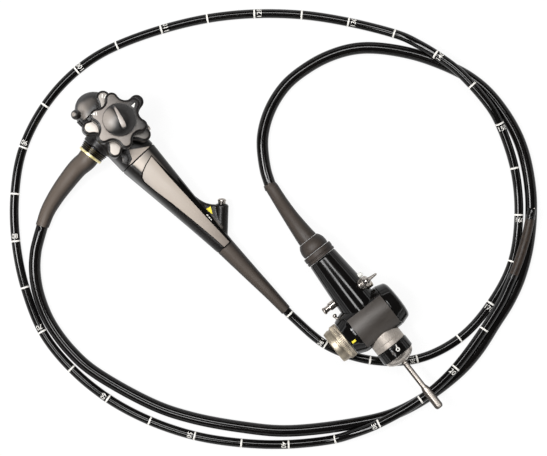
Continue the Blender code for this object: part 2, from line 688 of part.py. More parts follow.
def make_insertion_boot():
    start = control_matrix @ Vector((GRIP_END + CLEARANCE, 0, 0))
    second = control_matrix @ Vector((GRIP_END + 10 * MM, 0, 0))
    tip = Vector(on_layout(*INSERTION_BOOT_TIP))
    middle = control_matrix @ Vector((GRIP_END + 40 * MM, 0, 0))
    third = control_matrix @ Vector((GRIP_END + 68 * MM, 0, 1.0 * MM))
    route = [(*start, GRIP_END_RADIUS - 0.1 * MM), (*second, 9.6 * MM), (*middle, 8.0 * MM),
             (*third, 6.6 * MM), (*tip, INSERTION_BOOT_TIP_RADIUS)]
    tapered_tube("insertion_tube_boot", route, 10 * MM, leaving_boots()[0])


def shaft_radii():
    """Inner and outer radii of the two hollow shafts round the fixed post."""
    rl = (POST_RADIUS + CLEARANCE, POST_RADIUS + CLEARANCE + SHAFT_WALL)
    ud = (rl[1] + CLEARANCE, rl[1] + CLEARANCE + SHAFT_WALL)
    return {"rl": rl, "ud": ud}


def stack_heights():
    """Underside and top of each piece of the knob stack, from the seat up."""
    lever = (KNOB_SEAT_TOP + 0.5 * MM, KNOB_SEAT_TOP + 0.5 * MM + LEVER_HUB_HEIGHT)
    ud = (lever[1] + RUNNING_GAP, lever[1] + RUNNING_GAP + UD_WHEEL_HEIGHT)
    rl = (ud[1] + RUNNING_GAP, ud[1] + RUNNING_GAP + RL_WHEEL_HEIGHT)
    brake = (rl[1] + RUNNING_GAP, rl[1] + RUNNING_GAP + BRAKE_KNOB_HEIGHT)
    return {"lever": lever, "ud": ud, "rl": rl, "brake": brake}


def wheel_outline(radius, lobes, scallop, scallop_at, first_lobe):
    """Round-nosed lobes between round scallops, each arc tangent to the next."""
    half = math.pi / lobes
    nose = (scallop_at ** 2 + radius ** 2 - 2 * scallop_at * radius * math.cos(half) - scallop ** 2) / (
        2 * (scallop + radius - scallop_at * math.cos(half))
    )
    nose_at = radius - nose
    outline = []
    for lobe in range(lobes):
        middle = first_lobe + 2 * half * lobe
        centre = Vector((nose_at, 0.0))
        dip = Vector((scallop_at * math.cos(half), scallop_at * math.sin(half)))
        touch = math.atan2(dip.y - centre.y, dip.x - centre.x)
        step_count = 5
        arc = []
        for k in range(step_count + 1):
            angle = -touch + 2 * touch * k / step_count
            arc.append(centre + nose * Vector((math.cos(angle), math.sin(angle))))
        start = touch + math.pi
        stop = half * 2 - touch + math.pi
        stop = start + (math.pi * 2 - (start - stop) % (math.pi * 2)) - math.pi * 2
        for k in range(1, 6):
            angle = start + (stop - start) * k / 6
            arc.append(dip + scallop * Vector((math.cos(angle), math.sin(angle))))
        c, s = math.cos(middle), math.sin(middle)
        outline += [(p.x * c - p.y * s, p.x * s + p.y * c) for p in arc]
    return outline


def make_wheel(name, key, radius, lobes, scallop, scallop_at, lobe_angle):
    low, high = stack_heights()[key]
    wheel = prism(name, wheel_outline(radius, lobes, scallop, scallop_at, lobe_angle), low, high,
                  satin_plastic, knobs, edge=WHEEL_EDGE, segments=2)
    bore = shaft_radii()[key][1] + CLEARANCE
    cut(wheel, rod_cutter(name + "_bore", bore, low - 1 * MM, high + 1 * MM, knobs, (0, 0, 0), (0, 0, 0)))
    return wheel


def make_drum(name, key, floor):
    """A hollow shaft with the grooved drum of its pair of wires at its foot."""
    inner, outer = shaft_radii()[key]
    top = stack_heights()[key][1] - 1 * MM
    profile = [(top, inner), (top, outer), (floor + DRUM_HEIGHT, outer), (floor + DRUM_HEIGHT, DRUM_RADIUS)]
    groove_count = 2
    pitch = DRUM_HEIGHT / (groove_count * 2 + 1)
    for k in range(groove_count):
        high = floor + DRUM_HEIGHT - pitch * (2 * k + 1)
        profile += [(high, DRUM_RADIUS), (high - 0.5 * pitch, DRUM_RADIUS - DRUM_GROOVE), (high - pitch, DRUM_RADIUS)]
    profile += [(floor, DRUM_RADIUS), (floor, inner)]
    turned(name, profile, brushed_metal, knobs, steps=18, hollow=True)


def make_knobs():
    heights = stack_heights()
    make_wheel("ud_wheel", "ud", UD_WHEEL_RADIUS, UD_WHEEL_LOBES, UD_SCALLOP_RADIUS, UD_SCALLOP_AT, UD_LOBE_ANGLE)
    make_wheel("rl_wheel", "rl", RL_WHEEL_RADIUS, RL_WHEEL_LOBES, RL_SCALLOP_RADIUS, RL_SCALLOP_AT, RL_LOBE_ANGLE)

    foot = CHAMBER_FLOOR + CLEARANCE
    foot_top = foot + POST_FOOT_HEIGHT
    low, high = heights["brake"]
    post_top = high - 4.5 * MM
    post = [(post_top, 0.0), (post_top, POST_RADIUS), (foot_top, POST_RADIUS), (foot_top, POST_FOOT_RADIUS),
            (foot, POST_FOOT_RADIUS), (foot, 0.0)]
    turned("knob_post", post, brushed_metal, knobs, steps=16)
    rl_floor = foot_top + RUNNING_GAP
    make_drum("rl_drum", "rl", rl_floor)
    make_drum("ud_drum", "ud", rl_floor + DRUM_HEIGHT + RUNNING_GAP)

    bore = POST_RADIUS + CLEARANCE
    side = 3.6 * MM
    row_count = 6
    dome = high - low - side
    profile = [(high, 0.0)]
    for k in range(1, row_count + 1):
        angle = math.pi / 2 * k / row_count
        profile.append((low + side + dome * math.cos(angle) ** 1.1 if k < row_count else low + side,
                        (BRAKE_KNOB_RADIUS - 0.5 * MM) * math.sin(angle)))
    profile += [(low + side - 1 * MM, BRAKE_KNOB_RADIUS), (low, BRAKE_KNOB_RADIUS - 0.4 * MM),
                (low, bore), (post_top + CLEARANCE, bore), (post_top + CLEARANCE, 0.0)]
    knob = turned("rl_brake_knob", profile, satin_plastic, knobs, steps=26)
    rib_turn = math.radians(-19)
    sections = []
    for x, half, lift in ((-15.2, 1.0, 0.6), (-12, 1.5, 1.5), (-5, 1.9, 2.6), (3, 2.3, 3.3), (9, 2.7, 3.4), (10.6, 2.2, 2.6)):
        base = post_top + 2 * CLEARANCE
        crest = low + side + dome * math.sqrt(max(0.0, 1 - (x * MM / BRAKE_KNOB_RADIUS) ** 2)) + lift * MM
        corner = 0.9 * MM
        sections.append([Vector((x * MM, y, z)) for y, z in (
            (-half * MM - 0.6 * MM, base), (half * MM + 0.6 * MM, base), (half * MM, crest - corner),
            (half * MM - corner * 0.7, crest), (-half * MM + corner * 0.7, crest), (-half * MM, crest - corner))])
    rib = loft("brake_rib", sections, None, knobs)
    rib.rotation_euler = (0, 0, rib_turn)
    join(knob, rib)

    low, high = heights["lever"]
    bore = shaft_radii()["ud"][1] + CLEARANCE
    hub = [(high, bore), (high, LEVER_HUB_RADIUS - 0.6 * MM), (high - 0.6 * MM, LEVER_HUB_RADIUS),
           (low, LEVER_HUB_RADIUS), (low, bore)]
    lever = turned("ud_brake_lever", hub, satin_plastic, knobs, steps=28, hollow=True)
    middle = (low + high) / 2
    knee = [(-5, -9.6, 0), (-10, -17.5, 0), (-15, -23, 0), (-21, -25.8, 0.2), (-29.2, -26.0, 0.4)]
    knee = smooth_points([(x * MM, y * MM, middle + z * MM) for x, y, z in knee], 4.5 * MM)
    arm = tube("brake_arm", knee, BRAKE_ARM_RADIUS - 0.05 * MM, None, 2, knobs)
    join(lever, meshed(arm))
    ball("ud_brake_ball", BRAKE_BALL_RADIUS, satin_plastic, knobs, (-35.1 * MM, -23.1 * MM, middle + 0.6 * MM))


def make_valves():
    side = BODY_SHIFT + HEAD_HALF_WIDTH + CLEARANCE
    for name, x in VALVE_PLACES.items():
        place = (x, side, VALVE_HEIGHT_AT)
        bore = VALVE_STEM_RADIUS + CLEARANCE
        seat = [(VALVE_SEAT_LENGTH, bore), (VALVE_SEAT_LENGTH, VALVE_SEAT_RADIUS - 0.8 * MM),
                (VALVE_SEAT_LENGTH - 0.8 * MM, VALVE_SEAT_RADIUS), (0.2 * MM, VALVE_SEAT_RADIUS), (0.2 * MM, 0.0),
                (0.6 * MM, 0.0), (0.6 * MM, bore)]
        turned(name + "_seat", seat, brushed_metal, control, place, ALONG_Y, 20, hollow=True)
        foot = VALVE_SEAT_LENGTH - VALVE_STEM_ENGAGED
        under = VALVE_SEAT_LENGTH + VALVE_TRAVEL + 0.4 * MM
        top = under + VALVE_CAP_LENGTH
        button = [(top, 0.0), (top, VALVE_CAP_RADIUS - 1.2 * MM), (top - 0.8 * MM, VALVE_CAP_RADIUS), (under, VALVE_CAP_RADIUS),
                  (under, VALVE_STEM_RADIUS), (foot, VALVE_STEM_RADIUS), (foot, 0.0)]
        finish = polished_steel if name == "suction_valve" else satin_plastic
        turned(name + "_button", button, finish, control, place, ALONG_Y, 20)


def make_connector():
    origin = (0, 0, 0)
    half_pi = math.pi / 2

    def part(name, profile, finish, turn=ALONG_X, location=origin, steps=28, hollow=False):
        return turned(name, profile, finish, connector, location, turn, steps, hollow)

    start = BOOT_COLLAR_START
    boot_end = start - CLEARANCE
    route = [connector_matrix @ Vector((x * MM, y * MM, z * MM)) for x, y, z in
             ((-113, 0.0, 0.0), (-137, 0.9, -4.6), (-157, 2.6, -11.0))]
    first = connector_matrix @ Vector((boot_end, 0, 0))
    path = [(*first, CONNECTOR_BOOT_RADIUS), (*route[0], 10.0 * MM), (*route[1], 8.0 * MM), (*route[2], 7.2 * MM),
            (*on_layout(*CONNECTOR_BOOT_TIP), CORD_BOOT_TIP_RADIUS)]
    tapered_tube("connector_boot", path, 8 * MM, leaving_boots()[2])

    bulge = [(LOCK_RING_START - CLEARANCE, 0.0), (LOCK_RING_START - CLEARANCE, 14.6 * MM), (-94 * MM, 15.2 * MM),
             (-99 * MM, 14.6 * MM), (-102 * MM, 13.4 * MM), (start, CONNECTOR_BOOT_RADIUS + 0.4 * MM), (start, 0.0)]
    part("boot_collar", bulge, boot_rubber)
    low, high = LOCK_RING_START, SLEEVE_START - CLEARANCE
    soft = 0.5 * MM
    ring = [(high, 0.0), (high, LOCK_RING_RADIUS - soft), (high - soft, LOCK_RING_RADIUS), (low + soft, LOCK_RING_RADIUS),
            (low, LOCK_RING_RADIUS - soft), (low, 0.0)]
    part("lock_ring", ring, boot_rubber)

    sleeve = part("connector_sleeve", [(-8 * MM, 0.0), (-8 * MM, SLEEVE_END_RADIUS), (-20 * MM, SLEEVE_END_RADIUS),
                  (-40 * MM, 19.3 * MM), (SLEEVE_START, SLEEVE_START_RADIUS), (SLEEVE_START, 0.0)], gloss_black, steps=32)
    cut(sleeve, rod_cutter("sleeve_end", BARREL_RADIUS + CLEARANCE, -40 * MM, 40 * MM, connector, origin, ALONG_Y, 48))

    barrel = [(BARREL_RIGHT, 0.0), (BARREL_RIGHT, BARREL_RADIUS), (BARREL_LEFT, BARREL_RADIUS), (BARREL_LEFT, 0.0)]
    part("connector_barrel", barrel, gloss_black, ALONG_Y, steps=48)
    start = BARREL_RIGHT + CLEARANCE
    cap = [(CAP_END, 0.0), (CAP_END, 12 * MM), (CAP_END - 1.2 * MM, 18.6 * MM), (CAP_END - 3.2 * MM, 21.4 * MM),
           (CAP_END - 5.4 * MM, CAP_END_RADIUS), (start + 1 * MM, BARREL_RADIUS - 0.1 * MM), (start, BARREL_RADIUS - 0.4 * MM), (start, 0.0)]
    part("barrel_end_cap", cap, gloss_black, ALONG_Y, steps=32)
    start = BARREL_LEFT - CLEARANCE
    collar = [(start, 0.0), (start, BARREL_RADIUS - 0.3 * MM), (start - 2.5 * MM, BARREL_RADIUS - 0.6 * MM),
              (SOCKET_COLLAR_END, SOCKET_START_RADIUS), (SOCKET_COLLAR_END, 0.0)]
    part("socket_collar", collar, gloss_black, ALONG_Y, steps=32)

    high = SOCKET_COLLAR_END - CLEARANCE
    end = SOCKET_RING_END
    mouth = 14.6 * MM
    depth = 3.2 * MM
    ring = [(high, 0.0), (high, 18.9 * MM), (high - 0.6 * MM, 19.7 * MM), (high - 8.2 * MM, 19.2 * MM),
            (high - 8.8 * MM, 18.2 * MM), (high - 10.2 * MM, 18.2 * MM), (high - 10.8 * MM, 18.8 * MM),
            (end + 0.8 * MM, SOCKET_END_RADIUS), (end, SOCKET_END_RADIUS - 0.7 * MM), (end, mouth), (end + depth, mouth), (end + depth, 0.0)]
    part("socket_ring", ring, brushed_metal, ALONG_Y, steps=26)
    insert = [(end + depth - CLEARANCE, 0.0), (end + depth - CLEARANCE, mouth - CLEARANCE), (end + 1.4 * MM, mouth - CLEARANCE), (end + 1.4 * MM, 0.0)]
    part("socket_insert", insert, gloss_black, ALONG_Y, steps=24)

    inner = BARREL_RADIUS + CLEARANCE
    outer = inner + PLATE_THICKNESS
    plate = part("label_plate", [(BARREL_RIGHT - 0.4 * MM, inner), (BARREL_RIGHT - 0.4 * MM, outer),
                 (BARREL_LEFT + 0.4 * MM, outer), (BARREL_LEFT + 0.4 * MM, inner)], plate_grey, ALONG_Y, steps=48, hollow=True)
    window = [(PLATE_FROM_X, -30 * MM), (PLATE_TO_X, -30 * MM), (PLATE_TO_X, 30 * MM), (PLATE_FROM_X, 30 * MM)]
    keep_inside(plate, prism("plate_window", window, 4 * MM, 40 * MM, None, connector))
    cut(plate, rod_cutter("plate_notch", GUIDE_COLLAR_RADIUS + CLEARANCE, 0.0, 40 * MM, connector, origin, ALONG_X, 32))
    cut(plate, sleeve_cutter("plate_sleeve_notch"))

    collar = part("light_guide_collar", [(GUIDE_COLLAR_END, 0.0), (GUIDE_COLLAR_END, GUIDE_COLLAR_RADIUS),
                  (8 * MM, GUIDE_COLLAR_RADIUS), (8 * MM, 0.0)], brushed_metal, steps=32)
    cut(collar, rod_cutter("collar_seat", BARREL_RADIUS + CLEARANCE, -40 * MM, 40 * MM, connector, origin, ALONG_Y, 48))
    low, high = GUIDE_COLLAR_END + CLEARANCE, GUIDE_RING_END
    ring = [(high, 0.0), (high, GUIDE_RING_RADIUS - 0.8 * MM), (high - 0.8 * MM, GUIDE_RING_RADIUS),
            (low + 0.5 * MM, GUIDE_RING_RADIUS), (low, GUIDE_RING_RADIUS - 0.5 * MM), (low, 0.0)]
    part("light_guide_ring", ring, gloss_black, steps=32)
    low = GUIDE_RING_END + CLEARANCE
    cone = [(GUIDE_CONE_END, 0.0), (GUIDE_CONE_END, 4.6 * MM), (GUIDE_CONE_END - 0.6 * MM, 6.4 * MM), (GUIDE_CONE_END - 2.4 * MM, 11.4 * MM),
            (GUIDE_CONE_END - 5.4 * MM, 15.4 * MM), (low, 16.9 * MM), (low, 0.0)]
    part("light_guide_cone", cone, polished_steel)
    low, end = GUIDE_CONE_END + CLEARANCE, GUIDE_ROD_END
    wide = GUIDE_ROD_WIDE_RADIUS
    bore = GUIDE_WINDOW_RADIUS + CLEARANCE
    rod = [(end - 0.8 * MM, 0.0), (end - 0.8 * MM, bore), (end, bore), (end - 0.3 * MM, wide - 1.2 * MM), (end - 1.6 * MM, wide - 0.25 * MM),
           (end - 2.8 * MM, wide), (GUIDE_ROD_STEP + 5 * MM, wide), (GUIDE_ROD_STEP + 2.5 * MM, wide - 0.7 * MM),
           (GUIDE_ROD_STEP, GUIDE_ROD_RADIUS), (low, GUIDE_ROD_RADIUS), (low, 0.0)]
    part("light_guide_rod", rod, polished_steel, steps=20)
    low = end - 0.8 * MM + CLEARANCE
    part("light_guide_window", [(end + 0.3 * MM, 0.0), (end - 0.2 * MM, GUIDE_WINDOW_RADIUS), (low, GUIDE_WINDOW_RADIUS), (low, 0.0)], lens_glass, steps=16)

    # The small fittings round the sleeve, each standing square off its wall
    pipe_turn = (-(half_pi - AIR_PIPE_RISE), 0.0, 0.0)
    wall = 19.6 * MM
    rib_count = 3
    pitch = 1.9 * MM
    root = wall + rib_count * pitch + 2.6 * MM
    pipe = [(43.4 * MM, 0.0), (43.4 * MM, 1.1 * MM), (root + 4 * MM, 2.2 * MM), (root + 1 * MM, 3.0 * MM), (root, 5.0 * MM)]
    for k in range(rib_count):
        high = wall + (rib_count - k) * pitch
        pipe += [(high, 6.0 * MM), (high - 0.5 * pitch, 6.0 * MM), (high - 0.55 * pitch, 5.2 * MM), (high - 0.95 * pitch, 5.2 * MM)]
    pipe += [(wall, 5.6 * MM), (wall - 0.1 * MM, 0.0)]
    air = part("air_pipe", pipe, polished_steel, pipe_turn, (AIR_PIPE_X, 0, 0), 14)
    cut(air, sleeve_cutter("air_pipe_seat"))
    nut = part("water_nut", [(25.2 * MM, 0.0), (25.2 * MM, 3.6 * MM), (24.6 * MM, 4.3 * MM), (17 * MM, 4.3 * MM), (17 * MM, 0.0)],
               brushed_metal, (-(half_pi - math.radians(14)), 0.0, 0.0), (NUT_X, 0, 0), 6)
    cut(nut, sleeve_cutter("water_nut_seat"))
    vent = part("vent_cap", [(23.6 * MM, 0.0), (23.2 * MM, 1.9 * MM), (22.0 * MM, 2.5 * MM), (17 * MM, 2.5 * MM), (17 * MM, 0.0)],
                clear_nylon, (-(half_pi - math.radians(16)), 0.0, 0.0), (VENT_X, 0, 0), 14)
    cut(vent, sleeve_cutter("vent_cap_seat"))
    spigot = part("suction_spigot", [(34.0 * MM, 1.5 * MM), (34.0 * MM, 3.0 * MM), (32.6 * MM, 4.1 * MM), (30.2 * MM, 3.2 * MM), (24.6 * MM, 3.2 * MM),
                  (24.6 * MM, 4.4 * MM), (17 * MM, 4.4 * MM), (17 * MM, 0.0), (28 * MM, 0.0), (28 * MM, 1.5 * MM)],
                  polished_steel, AGAINST_Y, (SPIGOT_X, 0, 0), 18, hollow=True)
    cut(spigot, sleeve_cutter("suction_spigot_seat"))
    seat = BARREL_RADIUS - 2.6 * MM
    stud = [(seat + 6.2 * MM, 0.0), (seat + 5.6 * MM, 1.9 * MM), (seat + 4.2 * MM, 2.6 * MM), (seat + 2.8 * MM, 1.9 * MM),
            (seat + 2.4 * MM, 1.5 * MM), (seat - 2 * MM, 1.5 * MM), (seat - 2 * MM, 0.0)]
    stud = part("earth_stud", stud, polished_steel, AGAINST_X, (0, STUD_Y, 0), 14)
    under = turned("stud_under", [(-19 * MM, 0.0), (-19 * MM, BARREL_RADIUS - 0.3 * MM + CLEARANCE), (start_of_taper(), BARREL_RADIUS - 0.6 * MM + CLEARANCE),
                   (SOCKET_COLLAR_END, SOCKET_START_RADIUS + CLEARANCE), (SOCKET_COLLAR_END, 0.0)], None, connector, origin, ALONG_Y, 32)
    cut(stud, under)


def start_of_taper():
    return BARREL_LEFT - CLEARANCE - 2.5 * MM


def sleeve_cutter(name):
    profile = [(-8 * MM, 0.0), (-8 * MM, SLEEVE_END_RADIUS + CLEARANCE), (-20 * MM, SLEEVE_END_RADIUS + CLEARANCE),
               (-40 * MM, 19.3 * MM + CLEARANCE), (SLEEVE_START, SLEEVE_START_RADIUS + CLEARANCE), (SLEEVE_START, 0.0)]
    return turned(name, profile, None, connector, (0, 0, 0), ALONG_X, 32)


def make_tubes():
    insertion, cord, far = leaving_boots()
    start = Vector(on_layout(*INSERTION_BOOT_TIP)) + insertion * CLEARANCE
    heading = Vector((math.cos(BEND_HEADING), math.sin(BEND_HEADING), 0))
    end = Vector(on_layout(*BEND_START)) - heading * CLEARANCE
    route = [on_layout(x, y, TUBE_RADIUS + lift) for x, y, lift in INSERTION_ROUTE]
    points = smooth_points([start, *route, end], TUBE_SPACING)
    square_ends(points, insertion, heading)
    tube("insertion_tube", points, TUBE_RADIUS, gloss_black, 2)

    start = Vector(on_layout(*CORD_BOOT_TIP)) + cord * CLEARANCE
    end = Vector(on_layout(*CONNECTOR_BOOT_TIP)) + far * CLEARANCE
    route = [on_layout(x, y, CORD_RADIUS + lift) for x, y, lift in CORD_ROUTE]
    points = smooth_points([start, *route, end], CORD_SPACING)
    square_ends(points, cord, -far)
    tube("universal_cord", points, CORD_RADIUS, gloss_black, 3)


def link_frames():
    """A frame on each rivet axis, x towards the tip, from the base on."""
    place = Vector(on_layout(*BEND_START))
    heading = BEND_HEADING
    place += (BASE_LENGTH + LINK_END_GAP) * Vector((math.cos(heading), math.sin(heading), 0))
    frames = []
    for k in range(LINK_COUNT + 1):
        heading += BEND_TURN
        frames.append((place.copy(), heading))
        place += LINK_PITCH * Vector((math.cos(heading), math.sin(heading), 0))
    return frames


def ear(name, side, reach, low, high, back, parent):
    """A round-ended tab on one side of a link, along z before it is turned."""
    step_count = 6
    outline = [(back, -EAR_RADIUS), (reach, -EAR_RADIUS)]
    way = 1 if reach > back else -1
    outline += [
        (reach + way * EAR_RADIUS * math.sin(math.pi * k / step_count), -EAR_RADIUS * math.cos(math.pi * k / step_count))
        for k in range(1, step_count)
    ]
    outline += [(reach, EAR_RADIUS), (back, EAR_RADIUS)]
    if side > 0:
        return prism(name, outline, low, high, None, parent)
    return prism(name, outline, -high, -low, None, parent)


def make_link(name, finish, place, heading, first, front, length, radius, bore=True):
    """A vertebra: a short tube, inner tabs at the back with their rivets, outer tabs in front."""
    at = frame(name + "_frame", place, (0, 0, heading))
    tilt = 0.0 if first else math.pi / 2
    wall = radius - LINK_WALL if bore else 0.0
    rear = LINK_END_GAP
    if bore:
        body = turned(name, [(length - LINK_END_GAP, wall), (length - LINK_END_GAP, radius), (rear, radius), (rear, wall)],
                      finish, at, turn=ALONG_X, steps=16, hollow=True)
    else:
        soft = 0.9 * MM
        body = turned(name, [(length, 0.0), (length, radius - soft), (length - 0.3 * soft, radius - 0.3 * soft), (length - soft, radius),
                             (rear, radius), (rear, wall)], finish, at, turn=ALONG_X, steps=24)
    for side in (1, -1):
        label = f"{name}_{'a' if side > 0 else 'b'}"
        tongue = ear(label + "_tongue", side, 0.0, EAR_INNER[0], EAR_INNER[1], rear + 1.2 * MM, at)
        rivet = turned(label + "_rivet", [(EAR_OUTER[1] - 0.1 * MM, 0.0), (EAR_OUTER[1] - 0.1 * MM, RIVET_RADIUS),
                                          (EAR_INNER[0] + 0.1 * MM, RIVET_RADIUS), (EAR_INNER[0] + 0.1 * MM, 0.0)], None, at, steps=8)
        if side < 0:
            rivet.rotation_euler = (math.pi, 0, 0)
        pieces = [tongue, rivet]
        if bore:
            low, high = sorted((side * (EAR_INNER[0] + 0.15 * MM), side * (radius - 0.2 * MM)))
            patch = [(rear + x * MM, y * MM) for x, y in ((0.2, -1.4), (2.0, -1.4), (2.0, 1.4), (0.2, 1.4))]
            root = prism(label + "_root", patch, low, high, None, at)
            pieces.append(root)
        for piece in pieces:
            spin_about_x(piece, tilt)
            join(body, piece)
        if front:
            fork = ear(label + "_fork", side, length, EAR_OUTER[0], EAR_OUTER[1], length - LINK_END_GAP - 0.8 * MM, at)
            hole = turned(label + "_hole", [(6 * MM, 0.0), (6 * MM, RIVET_RADIUS + CLEARANCE), (0.5 * MM, RIVET_RADIUS + CLEARANCE), (0.5 * MM, 0.0)],
                          None, at, (length, 0, 0), steps=8)
            if side < 0:
                hole.rotation_euler = (math.pi, 0, 0)
            for piece in (fork, hole):
                spin_about_x(piece, tilt + math.pi / 2)
            join(body, fork)
            cut(body, hole)
    return body


def spin_about_x(piece, angle):
    turned_by = Matrix.Rotation(angle, 3, "X")
    piece.location = turned_by @ Vector(piece.location)
    piece.rotation_euler = (turned_by @ piece.rotation_euler.to_matrix()).to_euler()


def make_bending_section():
    frames = link_frames()
    # The first rivet axis lies level, so that its link lifts; the next stands upright
    base_place = Vector(on_layout(*BEND_START))
    at = frame("bending_base_frame", base_place, (0, 0, BEND_HEADING))
    length = BASE_LENGTH + LINK_END_GAP
    base = turned("bending_base", [(BASE_LENGTH, LINK_RADIUS - LINK_WALL), (BASE_LENGTH, TIP_RADIUS), (0.0, TIP_RADIUS), (0.0, 0.0),
                                   (1.2 * MM, 0.0), (1.2 * MM, LINK_RADIUS - LINK_WALL)], gloss_black, at, turn=ALONG_X, steps=24, hollow=True)
    for side in (1, -1):
        label = f"base_{'a' if side > 0 else 'b'}"
        fork = ear(label + "_fork", side, length, EAR_OUTER[0], EAR_OUTER[1], BASE_LENGTH - 1.2 * MM, at)
        hole = turned(label + "_hole", [(6 * MM, 0.0), (6 * MM, RIVET_RADIUS + CLEARANCE), (0.5 * MM, RIVET_RADIUS + CLEARANCE), (0.5 * MM, 0.0)],
                      None, at, (length, 0, 0), steps=8)
        if side < 0:
            hole.rotation_euler = (math.pi, 0, 0)
        for piece in (fork, hole):
            spin_about_x(piece, math.pi / 2)
        join(base, fork)
        cut(base, hole)
    for k in range(LINK_COUNT):
        place, heading = frames[k]
        make_link(f"link_{k + 1}", brushed_metal, place, heading, k % 2 == 1, True, LINK_PITCH, LINK_RADIUS)
    place, heading = frames[LINK_COUNT]
    tip = make_link("distal_tip", gloss_black, place, heading, LINK_COUNT % 2 == 1, False, LINK_END_GAP + TIP_LENGTH, TIP_RADIUS, bore=False)
    face = LINK_END_GAP + TIP_LENGTH
    at = tip.parent
    depth = 0.9 * MM
    lenses = (("objective_lens", 0.6, 1.9, 1.15), ("light_lens_a", 2.9, -0.4, 0.75), ("light_lens_b", -2.4, 0.9, 0.75))
    for name, y, z, radius in lenses:
        place = (face, y * MM, z * MM)
        cut(tip, rod_cutter(name + "_seat", radius * MM + CLEARANCE, -depth, 1 * MM, at, place, ALONG_X, 12))
        profile = [(-0.1 * MM, 0.0), (-0.25 * MM, radius * MM), (-depth + CLEARANCE, radius * MM), (-depth + CLEARANCE, 0.0)]
        turned(name, profile, lens_glass, at, place, ALONG_X, 12)
    cut(tip, rod_cutter("channel_hole", 1.4 * MM, -5 * MM, 1 * MM, at, (face, -0.2 * MM, -2.2 * MM), ALONG_X, 14))
    nozzle = [(0.6 * MM, 0.0), (0.6 * MM, 0.45 * MM), (0.2 * MM, 0.6 * MM), (-0.9 * MM, 0.6 * MM), (-0.9 * MM, 0.0)]
    place = (face, -1.9 * MM, 3.0 * MM)
    cut(tip, rod_cutter("nozzle_seat", 0.9 * MM, -1.2 * MM, 1 * MM, at, place, ALONG_X, 10))
    turned("water_nozzle", nozzle, polished_steel, at, place, ALONG_X, 10)


make_head()
make_grip()
make_outlet()
make_insertion_boot()
make_knobs()
make_valves()
make_connector()
make_tubes()
make_bending_section()
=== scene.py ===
from math import atan2, copysign, cos, pi, radians, sin, sqrt, tau

import bmesh
import bpy
from mathutils import Matrix, Vector
from mathutils.bvhtree import BVHTree


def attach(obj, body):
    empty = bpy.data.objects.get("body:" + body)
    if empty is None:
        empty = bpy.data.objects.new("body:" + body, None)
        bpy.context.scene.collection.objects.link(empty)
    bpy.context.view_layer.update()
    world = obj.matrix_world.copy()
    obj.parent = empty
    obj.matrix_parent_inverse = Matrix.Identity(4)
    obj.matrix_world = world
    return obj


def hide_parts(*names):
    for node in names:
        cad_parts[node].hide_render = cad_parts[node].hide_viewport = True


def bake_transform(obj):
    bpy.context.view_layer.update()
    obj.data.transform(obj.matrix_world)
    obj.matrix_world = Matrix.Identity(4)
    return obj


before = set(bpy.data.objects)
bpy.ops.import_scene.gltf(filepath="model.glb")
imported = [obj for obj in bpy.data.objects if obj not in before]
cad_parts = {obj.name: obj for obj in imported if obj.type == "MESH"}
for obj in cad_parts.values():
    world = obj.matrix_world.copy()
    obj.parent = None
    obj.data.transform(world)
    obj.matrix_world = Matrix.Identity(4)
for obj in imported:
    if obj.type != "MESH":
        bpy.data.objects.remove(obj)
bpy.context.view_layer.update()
mm = 0.001
# Pieces that lie against each other keep this gap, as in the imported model
gap = 0.3
scene = bpy.context.scene
scene.view_settings.view_transform = "Standard"
print("frame loaded:", len(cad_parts), "nodes")

# Camera: straight above the table, as in the photograph
photoView = {"centre": (37.49, 23.18), "height": 1500.0, "lens": 93.13, "sensor": 36.0, "width": 547, "tall": 456}

cameraData = bpy.data.cameras.new("photoCamera")
cameraData.lens = photoView["lens"]
cameraData.sensor_width = photoView["sensor"]
camera = bpy.data.objects.new("photoCamera", cameraData)
camera.location = (photoView["centre"][0] * mm, photoView["centre"][1] * mm, photoView["height"] * mm)
scene.collection.objects.link(camera)
scene.camera = camera


def photoRay(px, py):
    step = photoView["sensor"] / photoView["lens"] / photoView["width"]
    return camera.location.copy(), Vector(((px - photoView["width"] / 2) * step,
        (photoView["tall"] / 2 - py) * step, -1.0))


def shifted(x, y, z):
    return Matrix.Translation(Vector((x, y, z)) * mm)


def rotated(angle, axis):
    return Matrix.Rotation(radians(angle), 4, axis)


# Frames of the two rigid groups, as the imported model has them
groups = {
    "control": {"at": (-131.26, 127.58, 25.1), "turn": (-12.0, 4.3, -46.4)},
    "connector": {"at": (138.54, -71.82, 27.4), "turn": (0.0, -1.6, -51.8)},
}
control, connector = (
    shifted(*group["at"]) @ rotated(group["turn"][2], "Z") @ rotated(group["turn"][1], "Y")
    @ rotated(group["turn"][0], "X")
    for group in groups.values())
layoutShift = Vector((*photoView["centre"], 0.0))
knobs = control @ shifted(2.3, 1.4, 0.0)
alongX, againstX = rotated(90, "Y"), rotated(-90, "Y")
alongY, againstY = rotated(-90, "X"), rotated(90, "X")


# Colours are written as seen, and turned to linear here
def hexLinear(code):
    channels = [int(code[i:i + 2], 16) / 255 for i in (1, 3, 5)]
    return (*(c / 12.92 if c <= 0.04045 else ((c + 0.055) / 1.055) ** 2.4 for c in channels), 1.0)


# Adds a node: settings are its own choices, its sockets' values or a ramp's stops
def addNode(tree, kind, settings=None, links=None):
    node = tree.nodes.new(kind)
    for key, value in (settings or {}).items():
        if key == "stops":
            ramp = node.color_ramp.elements
            while len(ramp) < len(value):
                ramp.new(0.5)
            for element, (position, colour) in zip(ramp, value):
                element.position = position
                element.color = colour
        elif isinstance(key, int) or key in node.inputs:
            node.inputs[key].default_value = value
        else:
            setattr(node, key, value)
    for key, output in (links or {}).items():
        tree.links.new(output, node.inputs[key])
    return node


